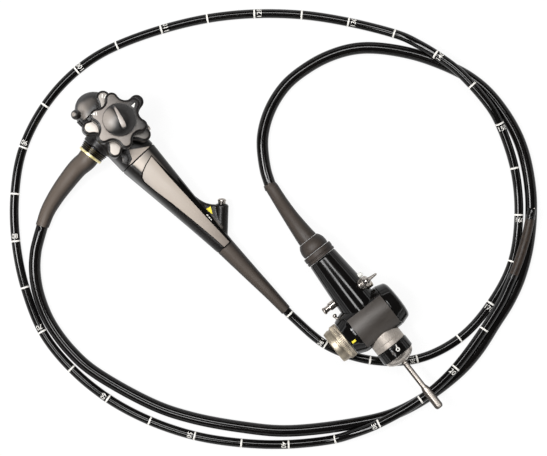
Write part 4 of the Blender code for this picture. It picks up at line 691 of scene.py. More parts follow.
# Numbers are wrapped round the tube, their heads towards the tip
numbers = bmesh.new()
for distance in range(depthMarks["firstNumber"], depthMarks["lastNumber"] + 1, 100):
    text = bpy.data.curves.new("number", "FONT")
    text.body = str(distance // 10)
    text.size = depthMarks["digitHeight"] * mm * depthMarks["textScale"]
    text.align_x = "CENTER"
    text.extrude = 0.02 * mm
    text.offset = 0.03 * mm
    text.resolution_u = 3
    flat = bpy.data.objects.new("number", text)
    scene.collection.objects.link(flat)
    mesh = settled(flat)
    shape = bmesh.new()
    shape.from_mesh(mesh)
    bmesh.ops.triangulate(shape, faces=shape.faces)
    for turn in range(3):
        long = [e for e in shape.edges if e.calc_length() > depthMarks["finest"] * mm]
        if long:
            bmesh.ops.subdivide_edges(shape, edges=long, cuts=1)
            bmesh.ops.triangulate(shape, faces=shape.faces)
    here, way = pathSpot(distance + depthMarks["first"] - depthMarks["firstMark"] + depthMarks["width"] / 2
        + depthMarks["gap"] + depthMarks["digitHeight"])
    side = way.cross(Vector((0, 0, 1))).normalized()
    up = side.cross(way)
    for vertex in shape.verts:
        x, y, z = vertex.co
        angle = x / (insertionTube["radius"] * mm)
        out = up * cos(angle) + side * sin(angle)
        vertex.co = here + way * y + out * (insertionTube["radius"] * mm + 0.02 * mm + z)
    shape.to_mesh(mesh)
    numbers.from_mesh(mesh)
    shape.free()
numberMesh = bpy.data.meshes.new("depthNumbers")
numbers.to_mesh(numberMesh)
numbers.free()
faceOutwards(numberMesh)
numberPiece = dress("depthNumbers", numberMesh, whiteInk)
print("depth marks printed")

# Bending section: a rubber cover over the riveted links, one stretch to each joint
place = bendStart + bendHeading * (bending["baseLength"] + bending["endGap"]) * mm
angle = radians(bending["heading"])
jointPlaces, jointWays = [], []
for k in range(bending["links"] + 1):
    angle += radians(bending["turn"])
    jointPlaces.append(place.copy())
    jointWays.append(Vector((cos(angle), sin(angle), 0.0)))
    place = place + jointWays[-1] * bending["pitch"] * mm
tipWay, tipPlace = jointWays[-1], jointPlaces[-1]
coverPath = smoothPath([bendStart + bendHeading * 0.5 * mm, *jointPlaces,
    tipPlace + tipWay * (bending["endGap"] + 2.2) * mm], 0.8 * mm)
coverFrames = pathFrames(coverPath)


def nearestOnCover(point):
    return min(range(len(coverPath)), key=lambda k: (coverPath[k] - point).length)


cuts = [0, *(nearestOnCover((a + b) / 2) for a, b in zip(jointPlaces, jointPlaces[1:])), len(coverPath) - 1]
for k in range(len(cuts) - 1):
    outer, inner = [], []
    for i in range(cuts[k], cuts[k + 1] + 1):
        point, way, across, up = coverFrames[i]
        ease = min(1.0, i / 3, (len(coverPath) - 1 - i) / 3)
        outside = bending["coverRadius"] + bending["swell"] * ease + bending["wrinkle"] * sin(i * bending["wave"])
        for rings, radius in ((outer, outside), (inner, bending["coverRadius"] - bending["coverWall"])):
            rings.append(circle(point, across, up, radius * mm, bending["sides"]))
    mesh = skinRings("bendingCover", outer + inner[::-1], True)
    piece = dress(f"bendingCover_{k + 1}", mesh, coverRubber, body=None)
    reach = jointWays[k] * bending["blendReach"] * mm
    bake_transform(piece)

radius, bore = bending["bindingRadius"], bending["bindingBore"]
for name, body, at, way, long in (
        ("coverBindingBack", "body", bendStart - bendHeading * 1.2 * mm, bendHeading, bending["bindingLength"]),
        ("coverBindingFront", "bend_tip", tipPlace + tipWay * (bending["endGap"] + 0.2) * mm, tipWay,
            bending["bindingLength"] * 0.7)):
    line = [(0, bore), (0, radius - 0.2, 0.2), (0.5, radius, 0.4), (long - 0.5, radius, 0.4),
        (long, radius - 0.2, 0.2), (long, bore)]
    lie = Matrix.Translation(at) @ way.to_track_quat("Z", "Y").to_matrix().to_4x4()
    turned(name, line, lie, 40, wovenBinding, 40, True, body=body)
tipPiece = dress("distalTip", softened("distal_tip", 0.25, 2, 40), glossPlastic, body="bend_tip")
print("bending section covered")


# Boots: tapered sleeves through places, each with its radius
def boot(name, route, leaving, arriving):
    points = smoothPath([place for place, radius in route], 2.0 * mm)
    squareEnds(points, leaving, arriving)
    stations = runningLengths([place for place, radius in route])
    lengths = runningLengths(points)
    table = [(d / stations[-1], radius * mm) for d, (place, radius) in zip(stations, route)]
    radii = [valueAt(table, d / lengths[-1]) for d in lengths]
    near = [radii[max(0, i - 3):i + 4] for i in range(len(radii))]
    dress(name, tubeMesh(name, points, [sum(few) / len(few) for few in near], 56), bootRubber)


outlet = {"yaw": -81.3, "rise": -12.0, "bossRadius": 15.4, "bossEnd": 26.6, "collarEnd": 34.4, "ringWidth": 2.6,
    "ringRadius": 13.5, "bootRadius": 11.0, "ribs": 4,
    "boot": ((-204.3, 63.0, 21.1, 10.3), (-219.2, 45.5, 16.3, 9.5), (-229.4, 31.8, 12.1, 8.6),
             (-238.0, 17.6, 8.8, 7.7))}
outletPlace = control @ rotated(outlet["yaw"], "Z") @ rotated(90 - outlet["rise"], "Y")
ringTop = outlet["collarEnd"] + gap + outlet["ringWidth"]
first, second = (outletPlace @ Vector((0, 0, (ringTop + away) * mm)) for away in (gap, 6.0))
boot("universalCordBoot", [
    (first, outlet["bootRadius"]), (second, outlet["bootRadius"] - 0.2),
    *((onLayout(p[:3]), p[3]) for p in outlet["boot"]), (cordTip, 6.9)], second - first, cordLeaving)

gripEnd = 171.0
middles = [control @ (Vector((gripEnd + x, 0, z)) * mm) for x, z in ((gap, 0), (10, 0), (40, 0), (68, 1))]
boot("insertionTubeBoot", [*zip(middles, (10.1, 9.6, 8.0, 6.6)), (tubeTip, 5.5)], middles[1] - middles[0],
    insertionLeaving)
middles = [connector @ (Vector(p) * mm) for p in ((-105.3, 0, 0), (-113, 0, 0), (-137, 0.9, -4.6), (-157, 2.6, -11))]
boot("connectorBoot", [*zip(middles, (10.9, 10.0, 8.0, 7.2)), (cordEnd, 6.9)], middles[1] - middles[0], -cordArriving)
print("boots on")

# Control section
head = {"halfHeight": 21.0, "domeStart": -24.0, "domeLength": 21.5, "domeHalfWidth": 19.4, "domeMiddle": -1.5,
    "domeRows": 18, "squareness": 4.0, "halfWidths": ((-24, 19.4), (8, 20.5), (42, 20.5)),
    "middles": ((-24, -1.5), (8, -2.0), (42, -2.0)), "points": 72, "start": 42.0}
grip = {"halfWidths": ((42, 20.5), (75, 17.6), (111, 14.5), (142, 12.2), (171, 10.2)),
        "halfHeights": ((42, 21.0), (75, 17.8), (111, 14.4), (142, 12.0), (171, 10.2)),
        "easedFrom": 51, "easedTo": 162,
        "squareness": ((42, 4.0), (100, 3.0), (171, 2.05)), "middles": ((42, -2.0), (110, -1.1), (171, 0.0)),
        "rows": 40}


def bodyRing(x, halfWidth, halfHeight, squareness, middle):
    ring = []
    for k in range(head["points"]):
        angle = tau * k / head["points"]
        c, s = cos(angle), sin(angle)
        y = middle + halfWidth * copysign(abs(c) ** (2 / squareness), c)
        z = halfHeight * copysign(abs(s) ** (2 / squareness), s)
        ring.append(control @ (Vector((x, y, z)) * mm))
    return ring


def easedAt(table, x, reach=9.0):
    return sum(valueAt(table, x + reach * k / 3) for k in range(-3, 4)) / 7


def headRing(x):
    return bodyRing(x, valueAt(head["halfWidths"], x), head["halfHeight"], head["squareness"],
        valueAt(head["middles"], x))


def gripRing(x):
    sized = easedAt if grip["easedFrom"] < x < grip["easedTo"] else valueAt
    return bodyRing(x, sized(grip["halfWidths"], x), sized(grip["halfHeights"], x),
                    valueAt(grip["squareness"], x), valueAt(grip["middles"], x))


boss, bossEnd = outlet["bossRadius"], outlet["bossEnd"]
housing = [skinRings("housing", [headRing(x) for x in (-23.7, -16, -8, 0, 8, 20, 32, 41.7)]),
           spinMesh("seat", [(10, 0), (10, 16), (21.6, 16, 0.5), (22.3, 15.2, 0.3), (22.3, 0)], knobs, 64),
           spinMesh("boss", [(8, 0), (8, boss), (bossEnd, boss, 0.5), (bossEnd, 0)], outletPlace, 64)]
dress("controlHousing", fused("controlHousing", housing, 0.8, 4), headPlastic, sharp=60)

rings = []
for k in range(head["domeRows"]):
    angle = radians(90) * k / head["domeRows"]
    share = cos(angle)
    rings.append(bodyRing(head["domeStart"] - head["domeLength"] * sin(angle), head["domeHalfWidth"] * share,
                          head["halfHeight"] * share, 2.3 + 1.7 * share ** 3, head["domeMiddle"]))
rings.append([control @ (Vector((head["domeStart"] - head["domeLength"], head["domeMiddle"], 0)) * mm)])
dress("headEndCap", skinRings("headEndCap", rings), domePlastic, sharp=50)

gripSkin = skinRings("gripSkin", [gripRing(head["start"] + (gripEnd - head["start"]) * k / grip["rows"])
                                  for k in range(grip["rows"] + 1)])
port = {"top": (137.1, 27.0, 7.0), "yaw": 136.4, "rise": 14.0, "radius": 7.2, "length": 34.0}
portPlace = control @ shifted(*port["top"]) @ rotated(port["yaw"], "Z") @ rotated(90 - port["rise"], "Y")
portLine = [(0, 0), (0, port["radius"], 1.0), (-port["length"], port["radius"]), (-port["length"], 0)]
webOutline = [(108, 8), (112, 13.2), (118, 14.2), (124, 16.2), (129, 19.4), (133, 23.2), (140, 24), (158, 8),
    (150, 4)]
webRings = [[control @ (Vector((x, y - drop, z)) * mm) for x, y in webOutline]
            for z, drop in ((-3.5, 2.5), (-2.7, 0.9), (-1.0, 0.0), (6.0, 0.0), (7.7, 0.9), (8.5, 2.5))]
gripParts = [gripSkin, spinMesh("portBlock", portLine, portPlace, 48), skinRings("portWeb", webRings)]
dress("gripShell", fused("gripShell", gripParts, 0.8, 7), gripPlastic, sharp=60)

turned("channelPortMouth", [
    (-1.5, 1.6), (6.0, 1.6, 0.3), (6.6, 2.2, 0.4), (6.2, 3.4, 0.8), (5.2, 4.5, 0.8), (4.2, 4.6, 0.3), (3.6, 4.2, 0.4),
    (0.8, 4.0, 0.4), (0.2, 3.0), (-2.7, 3.0), (-2.7, 1.6)], portPlace, 48, polishedSteel, 40, True)
turned("portRim", [(-0.4, 3.2), (0.1, 3.2), (0.1, 4.6, 0.1), (0.7, 4.7, 0.2), (0.7, 5.9, 0.5), (-0.4, 6.4)],
       portPlace, 48, glossPlastic, 40, True)
printed("portPointer", [arrow(210.4, 211.0, 58, 3.9, 2.7)], "gripShell", yellowInk)
dress("headCover", softened("head_cover", 0.45), coverPaint, sharp=30)

# The panel's seam is a slightly wider copy beneath it; its far edge drops below the seam
panel = {"raise": 0.45, "seamDrop": -0.2, "seamScale": (1.02, 1.08, 1.0, 1.0), "edge": 7.6, "edgeDrop": 1.4}
panelMesh = softened("grip_panel", 0.3, 2, 40)
panelMesh.transform(Matrix.Translation(Vector(knobWay) * panel["raise"] * mm))
corners = [control.inverted() @ v.co for v in panelMesh.vertices]
middle = Vector([(min(c[i] for c in corners) + max(c[i] for c in corners)) / 2 for i in range(3)])
seamMesh = panelMesh.copy()
seamMesh.transform(control @ Matrix.Translation(middle + Vector((0, 0, panel["seamDrop"] * mm)))
                   @ Matrix.Diagonal(panel["seamScale"]) @ Matrix.Translation(-middle) @ control.inverted())
for vertex, corner in zip(panelMesh.vertices, corners):
    if corner.y > panel["edge"] * mm:
        vertex.co = control @ (corner - Vector((0, 0, panel["edgeDrop"] * mm)))
dress("gripPanel", panelMesh, panelPaint, sharp=30)
# The seam copy is a black sheet under the panel's edge that paints the shade in its joint
dress("panelSeam", seamMesh, jointShadow, sharp=30)
printed("portMarks", [
    bar(207.4, 215.2, 40, 1.0, 0.5), bar(209.4, 217.6, 40, 1.0, 0.5), bar(211.2, 219.6, 40, 0.8, 0.45)],
    "panelSeam", whiteInk)
dress("leverStop", softened("lever_stop", 0.4), domePlastic, sharp=30)

# Outlet collar: ribs that step out towards the head, a lacquered line in each groove
low, high, ringRadius = bossEnd + gap, outlet["collarEnd"], outlet["ringRadius"]
pitch, widening = (high - low) / outlet["ribs"], (boss - ringRadius) / outlet["ribs"]
line = [(high, 0)]
for k in range(outlet["ribs"]):
    top, wide = high - pitch * k, ringRadius - 0.2 + widening * k
    line += [(top, wide, 0.3), (top - pitch * 0.55, wide + 0.1, 0.3),
             (top - pitch * 0.62, wide - 0.9, 0.15), (top - pitch * 0.98, wide - 0.9, 0.15)]
line += [(low, boss - 0.4, 0.2), (low, 0)]
turned("outletCollar", line, outletPlace, 72, glossPlastic, slotName="satin_plastic")
for k in range(outlet["ribs"] - 1):
    middle, wide = high - pitch * (k + 0.8), ringRadius - 0.75 + widening * k
    line = [(middle - 0.14, wide - 0.6), (middle - 0.14, wide - 0.1, 0.05), (middle + 0.14, wide - 0.1, 0.05),
        (middle + 0.14, wide - 0.6)]
    turned(f"outletHairline_{k + 1}", line, outletPlace, 72, lacqueredBrass, 40, True)
low = outlet["collarEnd"] + gap
turned("outletRing", [
    (ringTop, 0), (ringTop, ringRadius, 0.7), (low + 1.5, ringRadius, 0.1), (low + 1.3, ringRadius - 0.25, 0.1),
    (low + 1.1, ringRadius, 0.1), (low, ringRadius, 0.5), (low, 0)], outletPlace, 72, giltMetal)
print("control section shaped")

# Angulation wheels, brake knob and lever
wheels = {
    "upDownWheel": {
        "node": "ud_wheel", "body": "ud_knob", "radius": 36.3, "lobes": 5, "scallop": 14.0, "scallopAt": 36.0,
        "firstLobe": 22.4, "low": 27.4, "high": 41.0, "bore": 7.3, "rim": 1.3, "fall": 0.6,
        "finish": lowerKnobPlastic},
    "rightLeftWheel": {
        "node": "rl_wheel", "body": "rl_knob", "radius": 29.4, "lobes": 6, "scallop": 9.2, "scallopAt": 30.6,
        "firstLobe": 34.4, "low": 41.8, "high": 53.8, "bore": 5.3, "rim": 1.2, "fall": 0.6,
        "finish": knobPlastic},
}


# A wheel's outline: round lobes, joined by scallops
def wheelRing(wheel, inset, height):
    half = pi / wheel["lobes"]
    scallop, at, radius = wheel["scallop"], wheel["scallopAt"], wheel["radius"]
    nose = (at ** 2 + radius ** 2 - 2 * at * radius * cos(half) - scallop ** 2) / (
        2 * (scallop + radius - at * cos(half)))
    noseAt = Vector((radius - nose, 0))
    dip = Vector((at * cos(half), at * sin(half)))
    touch = atan2(dip.y, dip.x - noseAt.x)
    sweep = (2 * touch - 2 * half) % tau
    arcs = [(noseAt, nose - inset, -touch + 2 * touch * k / 14) for k in range(15)]
    arcs += [(dip, scallop + inset, touch + pi - sweep * k / 14) for k in range(1, 14)]
    ring = []
    for lobe in range(wheel["lobes"]):
        around = Matrix.Rotation(radians(wheel["firstLobe"]) + 2 * half * lobe, 2)
        ring += [around @ (middle + out * Vector((cos(a), sin(a)))) for middle, out, a in arcs]
    return [knobs @ (Vector((p.x, p.y, height)) * mm) for p in ring]


# The same ring drawn part of the way in to the bore
def drawnIn(wheel, share, inset, height):
    middle = knobs @ (Vector((0, 0, height)) * mm)
    return [middle + (p - middle).normalized() * wheel["bore"] * mm * share + (p - middle) * (1 - share)
            for p in wheelRing(wheel, inset, height)]


for name, wheel in wheels.items():
    low, high, rim, fall = wheel["low"], wheel["high"], wheel["rim"], wheel["fall"]
    rings = [drawnIn(wheel, 1.0, rim, low), drawnIn(wheel, 0.5, rim, low), wheelRing(wheel, rim, low)]
    quarter = [radians(90) * k / 6 for k in range(7)]
    rings += [wheelRing(wheel, rim * (1 - sin(a)), low + rim * (1 - cos(a))) for a in quarter[1:]]
    rings += [wheelRing(wheel, rim * (1 - cos(a)), high - fall - rim * (1 - sin(a))) for a in quarter]
    rings += [wheelRing(wheel, rim + more, high - fall * down)
              for more, down in ((0.5, 0.4), (0.9, 0.12), (1.4, 0.0))]
    rings += [drawnIn(wheel, share, rim + more, high) for share, more in ((0.25, 1.4), (0.6, 1.4), (1.0, 0.0))]
    dress(name, skinRings(name, rings, True), wheel["finish"], wheel["body"], [wheel["node"]], 55)

brakeKnob = {"radius": 16.8, "domeRadius": 16.2, "low": 54.6, "high": 64.1, "side": 3.6, "ribTurn": -19.0,
    "ribFoot": 57.5, "rows": 12, "rib": ((-15.0, 0.7, 60.4), (-14.2, 1.0, 61.6), (-12, 1.3, 63.4),
    (-8.5, 1.7, 65.2), (-4.5, 2.0, 66.3), (0, 2.3, 66.9), (4, 2.6, 67.1), (7.5, 2.8, 67.0), (9.4, 2.6, 66.5),
    (10.6, 2.0, 65.6), (11.2, 1.3, 64.2))}
low, wide = brakeKnob["low"], brakeKnob["domeRadius"]
dome = brakeKnob["high"] - low - brakeKnob["side"]
ball = (wide ** 2 + dome ** 2) / (2 * dome)
across = [wide * k / brakeKnob["rows"] for k in range(brakeKnob["rows"], -1, -1)]
line = [(low, 0), (low, wide + 0.2, 0.4), (low + 2.6, brakeKnob["radius"], 1.2)]
line += [(brakeKnob["high"] - ball + sqrt(ball ** 2 - r ** 2), r) for r in across]
turned("rightLeftBrakeKnob", line, knobs, 72, domePlastic, 60, body="rl_brake", nodes=["rl_brake_knob"])
ribPlace = knobs @ rotated(brakeKnob["ribTurn"], "Z")
ribRings = [[ribPlace @ (Vector((x, y, z)) * mm) for y, z in (
    (-half - 0.5, brakeKnob["ribFoot"]), (half + 0.5, brakeKnob["ribFoot"]), (half, crest - 0.9),
    (half * 0.9, crest - 0.25), (half * 0.6, crest), (-half * 0.6, crest), (-half * 0.9, crest - 0.25),
    (-half, crest - 0.9))]
    for x, half, crest in brakeKnob["rib"]]
dress("brakeKnobRib", skinRings("brakeKnobRib", ribRings), ribPlastic, "rl_brake", sharp=50)

lever = {"low": 22.8, "high": 26.6, "hub": 12.5, "bore": 7.3, "armRadius": 1.85, "ball": (-35.1, -23.1, 0.6),
    "ballRadius": 5.2, "arm": ((-5, -9.6, 0), (-10, -17.5, 0), (-15, -23, 0), (-21, -25.8, 0.2),
    (-29, -26.2, 0.4))}
low, high, hub, bore = lever["low"], lever["high"], lever["hub"], lever["bore"]
leverPlace = knobs @ shifted(0, 0, (low + high) / 2)
armPath = smoothPath([leverPlace @ (Vector(p) * mm) for p in lever["arm"]], 1.0 * mm)
whole = bmesh.new()
whole.from_mesh(spinMesh("hub", [(high, bore), (high, hub, 0.7), (low, hub, 0.4), (low, bore)], knobs, 64, loop=True))
whole.from_mesh(tubeMesh("arm", armPath, [lever["armRadius"] * mm] * len(armPath), 20))
leverMesh = bpy.data.meshes.new("upDownBrakeLever")
whole.to_mesh(leverMesh)
whole.free()
dress("upDownBrakeLever", leverMesh, glossPlastic, "ud_brake", ["ud_brake_lever"], slotName="satin_plastic")
line = [(lever["ballRadius"] * cos(pi * k / 24), lever["ballRadius"] * sin(pi * k / 24)) for k in range(25)]
turned("upDownBrakeBall", line, leverPlace @ shifted(*lever["ball"]), 40, domePlastic, 60, body="ud_brake",
    nodes=["ud_brake_ball"])
print("wheels and brakes turned")

printed("upDownMarks", [
    bar(102.2, 96.0, 96, 1.9, 0.6), arrow(105.4, 96.4, -80, 2.0, 1.5), arrow(88.4, 127.6, 200, 1.9, 1.4)],
    "upDownWheel", whiteInk, "ud_knob")
printed("rightLeftMarks", [
    arrow(133.8, 104.6, -60, 2.4, 1.7), arrow(92.8, 114.0, 172, 2.2, 1.6), bar(96.4, 113.6, 82, 1.9, 0.55)],
    "rightLeftWheel", whiteInk, "rl_knob")

# Valves
valves = {"suction": {"x": 23.5, "cap": polishedSteel, "slot": "polished_steel"},
          "airWater": {"x": 5.6, "cap": glossPlastic, "slot": "satin_plastic"}}
valve = {"side": 18.8, "height": 1.5, "seat": 7.5, "seatLength": 4.5, "stem": 3.7, "travel": 2.6, "cap": 5.6,
    "capLength": 3.0, "engaged": 1.0}
long, wide, stem, cap = valve["seatLength"], valve["seat"], valve["stem"], valve["cap"]
under = long + valve["travel"] + 0.4
top, foot, bore = under + valve["capLength"], long - valve["engaged"], stem + gap
seatLine = [(long, bore), (long, wide - 0.4, 0.4), (long - 0.9, wide, 0.3), (long - 2.0, wide, 0.2),
    (long - 2.3, wide - 0.5, 0.2), (long - 2.9, wide - 0.5, 0.2), (long - 3.2, wide, 0.2), (0.2, wide, 0.2),
    (0.2, bore)]
capLine = [(top - 0.5, 0), (top - 0.4, cap - 2.4, 0.5), (top, cap - 1.3, 0.5), (top - 0.7, cap, 0.6),
    (under, cap, 0.4), (under, stem, 0.2), (foot, stem, 0.2), (foot, 0)]
for name, own in valves.items():
    at = control @ shifted(own["x"], valve["side"], valve["height"]) @ alongY
    node = {"suction": "suction", "airWater": "air_water"}[name]
    turned(name + "Seat", seatLine, at, 56, turnedNickel, loop=True, nodes=[node + "_valve_seat"])
    turned(name + "Button", capLine, at, 56, own["cap"], body=node + "_button", nodes=[node + "_valve_button"],
        slotName=own["slot"])
print("valves seated")

# Connector
plug = connector @ alongX
drum = connector @ alongY
barrel = {"radius": 24.4, "left": -20.9, "right": 22.9, "capEnd": 36.4, "collarEnd": -32.0, "socketEnd": -49.0,
    "leftTrim": 0.28}
left, right, radius = barrel["left"] - barrel["leftTrim"], barrel["right"], barrel["radius"]
turned("connectorBarrel", [(right, 0), (right, radius, 0.4), (left, radius, 0.04), (left, 0)], drum, 96,
    glossPlastic, 40)
low, end = right + gap, barrel["capEnd"]
turned("barrelEndCap", [
    (end, 0), (end, 12.0), (end - 1.0, 18.6, 2.0), (end - 3.0, 21.4, 1.6), (end - 5.4, 22.2, 1.5),
    (low + 1, 24.3, 1.0), (low, 24.0, 0.3), (low, 0)], drum, 96, glossPlastic, 50)
low, end = barrel["left"] - gap, barrel["collarEnd"]
turned("socketCollar", [(low, 0), (low, radius - 0.02, 0.04), (low - 2.5, 23.9, 1.2), (end, 20.3, 0.5), (end, 0)],
       drum, 96, glossPlastic, 50)
high, end, mouth, depth = end - gap, barrel["socketEnd"], 14.6, 3.2
turned("socketRing", [
    (high, 12), (high, 19.1, 0.3), (high - 0.6, 19.7, 0.4), (high - 8.2, 19.2, 0.4), (high - 8.8, 18.2, 0.3),
    (high - 10.2, 18.2, 0.3), (high - 10.8, 18.8, 0.3), (end + 0.8, 17.7, 0.6), (end, 17.0, 0.4), (end, mouth, 0.3),
    (end + depth, mouth, 0.2), (end + depth, 12)], drum, 96, turnedNickel, loop=True)


# Ridges or pins stood in a ring round the drum's axis
def ridges(name, count, ringRadius, ridgeRadius, long, sides, at, finish, sharp):
    mesh = treeMesh(name, ridgeTree, {
        "Count": count, "Ring Radius": ringRadius * mm, "Ridge Radius": ridgeRadius * mm, "Ridge Length": long * mm,
        "Sides": sides, "Finish": finish}, drum @ shifted(0, 0, at))
    dress(name, mesh, finish, sharp=sharp)


ridges("socketKnurl", 64, 19.25, 0.62, 6.4, 8, high - 4.4, turnedNickel, 50)
floorOf, mouth = end + depth - gap, mouth - gap
turned("socketInsert", [(floorOf, 0), (floorOf, mouth), (end + 1.4, mouth, 0.3), (end + 1.4, 0)], drum, 72,
       glossPlastic, 40)
ridges("socketPins_1", 16, 10.5, 0.7, 1.6, 10, end + 1.2, giltMetal, 40)
ridges("socketPins_2", 8, 5.5, 0.7, 1.6, 10, end + 1.2, giltMetal, 40)
dress("labelPlate", softened("label_plate", 0.25, 2, 40), plateMetal, sharp=30)

sleeve = {"start": -81.5, "startRadius": 16.0, "endRadius": 20.4}
low, thin, wide = sleeve["start"], sleeve["startRadius"], sleeve["endRadius"]
turned("connectorSleeve", [
    (-8, 0), (-8, wide), (-20, wide, 4), (-40, 19.3, 6), (low + 1, thin, 0.8), (low, thin - 0.9, 0.3), (low, 0)],
    plug, 96, glossPlastic, 50)
turned("lockRing", [
    (-81.8, 0), (-81.8, 16.4, 0.5), (-83.2, 16.7, 0.5), (-84.6, 16.7, 0.2), (-85.0, 16.1, 0.2), (-85.8, 16.1, 0.2),
    (-86.2, 16.7, 0.2), (-90.4, 16.7, 0.6), (-91, 16.0, 0.3), (-91, 0)], plug, 80, bootRubber)
turned("bootCollar", [
    (-91.3, 0), (-91.3, 14.6, 0.5), (-94, 15.2, 2), (-99, 14.6, 2), (-102, 13.4, 1.5), (-104.4, 11.8, 0.6),
    (-105, 11.2, 0.3), (-105, 0)], plug, 80, bootRubber, 40)

guide = {"collar": 17.4, "collarEnd": 34.0, "ring": 18.3, "ringEnd": 46.5, "coneEnd": 56.0, "rodEnd": 116.4,
    "rod": 2.9, "wide": 4.55, "step": 88.0}
end, radius = guide["collarEnd"], guide["collar"]
turned("lightGuideCollar", [
    (end, 0), (end, radius, 0.5), (28.6, radius, 0.2), (28.3, 17.1, 0.1), (28.0, radius, 0.2), (8, radius), (8, 0)],
    plug, 96, blastedSteel)
end, low, radius = guide["ringEnd"], end + gap, guide["ring"]
turned("lightGuideRing", [
    (end, 0), (end, radius, 1.0), (36.6, radius, 0.2), (36.3, 17.9, 0.1), (36.0, radius, 0.2),
    (low, radius, 0.6), (low, 0)], plug, 96, glossPlastic)
end, low = guide["coneEnd"], end + gap
turned("lightGuideCone", [
    (end, 0), (end, 4.6, 0.4), (end - 0.6, 6.4, 0.4), (end - 2.4, 11.4, 1.2), (end - 5.4, 15.4, 1.5),
    (low, 16.9, 0.4), (low, 0)], plug, 72, turnedSteel)
low, end, wide, thin, step = end + gap, guide["rodEnd"], guide["wide"], guide["rod"], guide["step"]
turned("lightGuideRod", [
    (end - 0.8, 0), (end - 0.8, 2.7, 0.1), (end, 2.7, 0.2), (end - 0.2, wide - 1.2, 0.4),
    (end - 1.6, wide - 0.25, 0.6), (end - 2.8, wide, 0.6), (step + 5, wide, 1.2), (step + 2.5, wide - 0.7, 1.0),
    (step, thin, 0.8), (58.6, thin, 0.3), (58.2, 3.6, 0.4), (low, 3.6, 0.3), (low, 0)], plug, 56, drawnSteel)
turned("lightGuideWindow", [
    (end + 0.3, 0), (end + 0.15, 1.3, 0.4), (end - 0.2, 2.4, 0.3), (end - 0.5, 2.4), (end - 0.5, 0)],
    plug, 40, fibreGlass, 40)


# Fittings stand square off the sleeve and the barrel
def offSleeve(x, rise):
    return connector @ shifted(x, 0, 0) @ rotated(rise - 90, "X")


line = [(43.4, 0), (43.4, 1.1, 0.4), (32.5, 2.0, 1.0), (29.0, 3.0, 1.0), (27.9, 4.9, 0.5)]
for k in range(4):
    high = 27.3 - 1.55 * k
    line += [(high, 6.0, 0.25), (high - 0.85, 6.0, 0.25), (high - 0.95, 5.2, 0.1), (high - 1.5, 5.2, 0.1)]
line += [(20.6, 5.7, 0.3), (17.5, 5.7), (17.5, 0)]
turned("airPipe", line, offSleeve(-34.8, 41), 40, polishedSteel)
dress("waterNut", softened("water_nut", 0.35, 2, 40), turnedNickel, sharp=30)
turned("ventCap", [(23.6, 0), (23.2, 1.9, 0.5), (22.0, 2.5, 0.6), (17, 2.5), (17, 0)], offSleeve(-43.2, 16),
    32, milkyNylon, 50)
turned("suctionSpigot", [
    (34.0, 1.5, 0.2), (34.0, 3.0, 0.4), (32.6, 4.1, 0.4), (30.2, 3.2, 0.4), (26.4, 3.2, 0.3), (26.0, 4.2, 0.3),
    (24.6, 4.4, 0.3), (17, 4.4), (17, 1.5)], connector @ shifted(-36.2, 0, 0) @ againstY, 48, polishedSteel, loop=True)
seat = barrel["radius"] - 2.6
turned("earthStud", [
    (seat + 6.2, 0), (seat + 5.6, 1.9, 0.8), (seat + 4.2, 2.6, 0.8), (seat + 2.8, 1.9, 0.5), (seat + 2.4, 1.5, 0.3),
    (seat - 2, 1.5), (seat - 2, 0)], connector @ shifted(0, -27.2, 0) @ againstX, 36, polishedSteel, 50)


def spotAt(x, y, radius, angle):
    return x + radius * cos(radians(angle)), y + radius * sin(radians(angle))


hoop = [[spotAt(397.9, 349.4, radius, t + more) for radius, more in ((1.1, 0), (2.1, 0), (2.1, 30), (1.1, 30))]
        for t in range(0, 360, 30)]
printed("guideMark", [*hoop, bar(396.4, 346.0, -115, 1.6, 0.45)], "lightGuideRing", whiteInk)
printed("guideDisc", [[spotAt(393.4, 353.4, 1.7, t) for t in range(0, 360, 45)]], "lightGuideRing", plateMetal)
printed("socketMark", [bar(353.9, 341.4, -38, 2.2, 1.2)], "socketCollar", yellowInk)
print("connector built")

# Finishes of the CAD nodes that stay as they are
kept = {"knob_post": anodisedAluminium, "ud_drum": anodisedAluminium, "rl_drum": anodisedAluminium,
    "bending_base": turnedSteel, "objective_lens": opticalGlass, "light_lens_a": fibreGlass,
    "light_lens_b": fibreGlass, "water_nozzle": polishedSteel}
kept.update({f"link_{k + 1}": turnedSteel for k in range(bending["links"])})
for node, material in kept.items():
    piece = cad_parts[node]
    for slot in piece.material_slots:
        slot.material = material
    if not piece.material_slots:
        piece.data.materials.append(material)


# Table and light

# 1 for the rays that look at the background itself, by eye, gloss or glass
def seenRays(tree):
    rays = addNode(tree, "ShaderNodeLightPath").outputs
    seen = addNode(tree, "ShaderNodeMath", {"operation": "MAXIMUM"},
        {0: rays["Is Camera Ray"], 1: rays["Is Glossy Ray"]})
    return addNode(tree, "ShaderNodeMath", {"operation": "MAXIMUM"},
        {0: seen.outputs[0], 1: rays["Is Transmission Ray"]}).outputs[0]


floorSize = {"half": 4.0, "glow": 0.9}
floorMesh = bpy.data.meshes.new("tableTop")
half = floorSize["half"]
floorMesh.from_pydata([(-half, -half, 0), (half, -half, 0), (half, half, 0), (-half, half, 0)], [], [(0, 1, 2, 3)])
tablePaper = bpy.data.materials.new("whitePaperTable")
tablePaper.use_nodes = True
tree = tablePaper.node_tree
tree.nodes.clear()
share = addNode(tree, "ShaderNodeMath", {"operation": "MULTIPLY", 1: floorSize["glow"]}, {0: seenRays(tree)})
paper = addNode(tree, "ShaderNodeBsdfDiffuse", {"Color": hexLinear("#fbfbfb")})
glow = addNode(tree, "ShaderNodeEmission", {"Color": (1.0, 1.0, 1.0, 1.0), "Strength": 1.0})
both = addNode(tree, "ShaderNodeMixShader", {}, {0: share.outputs[0], 1: paper.outputs[0], 2: glow.outputs[0]})
addNode(tree, "ShaderNodeOutputMaterial", {}, {"Surface": both.outputs[0]})
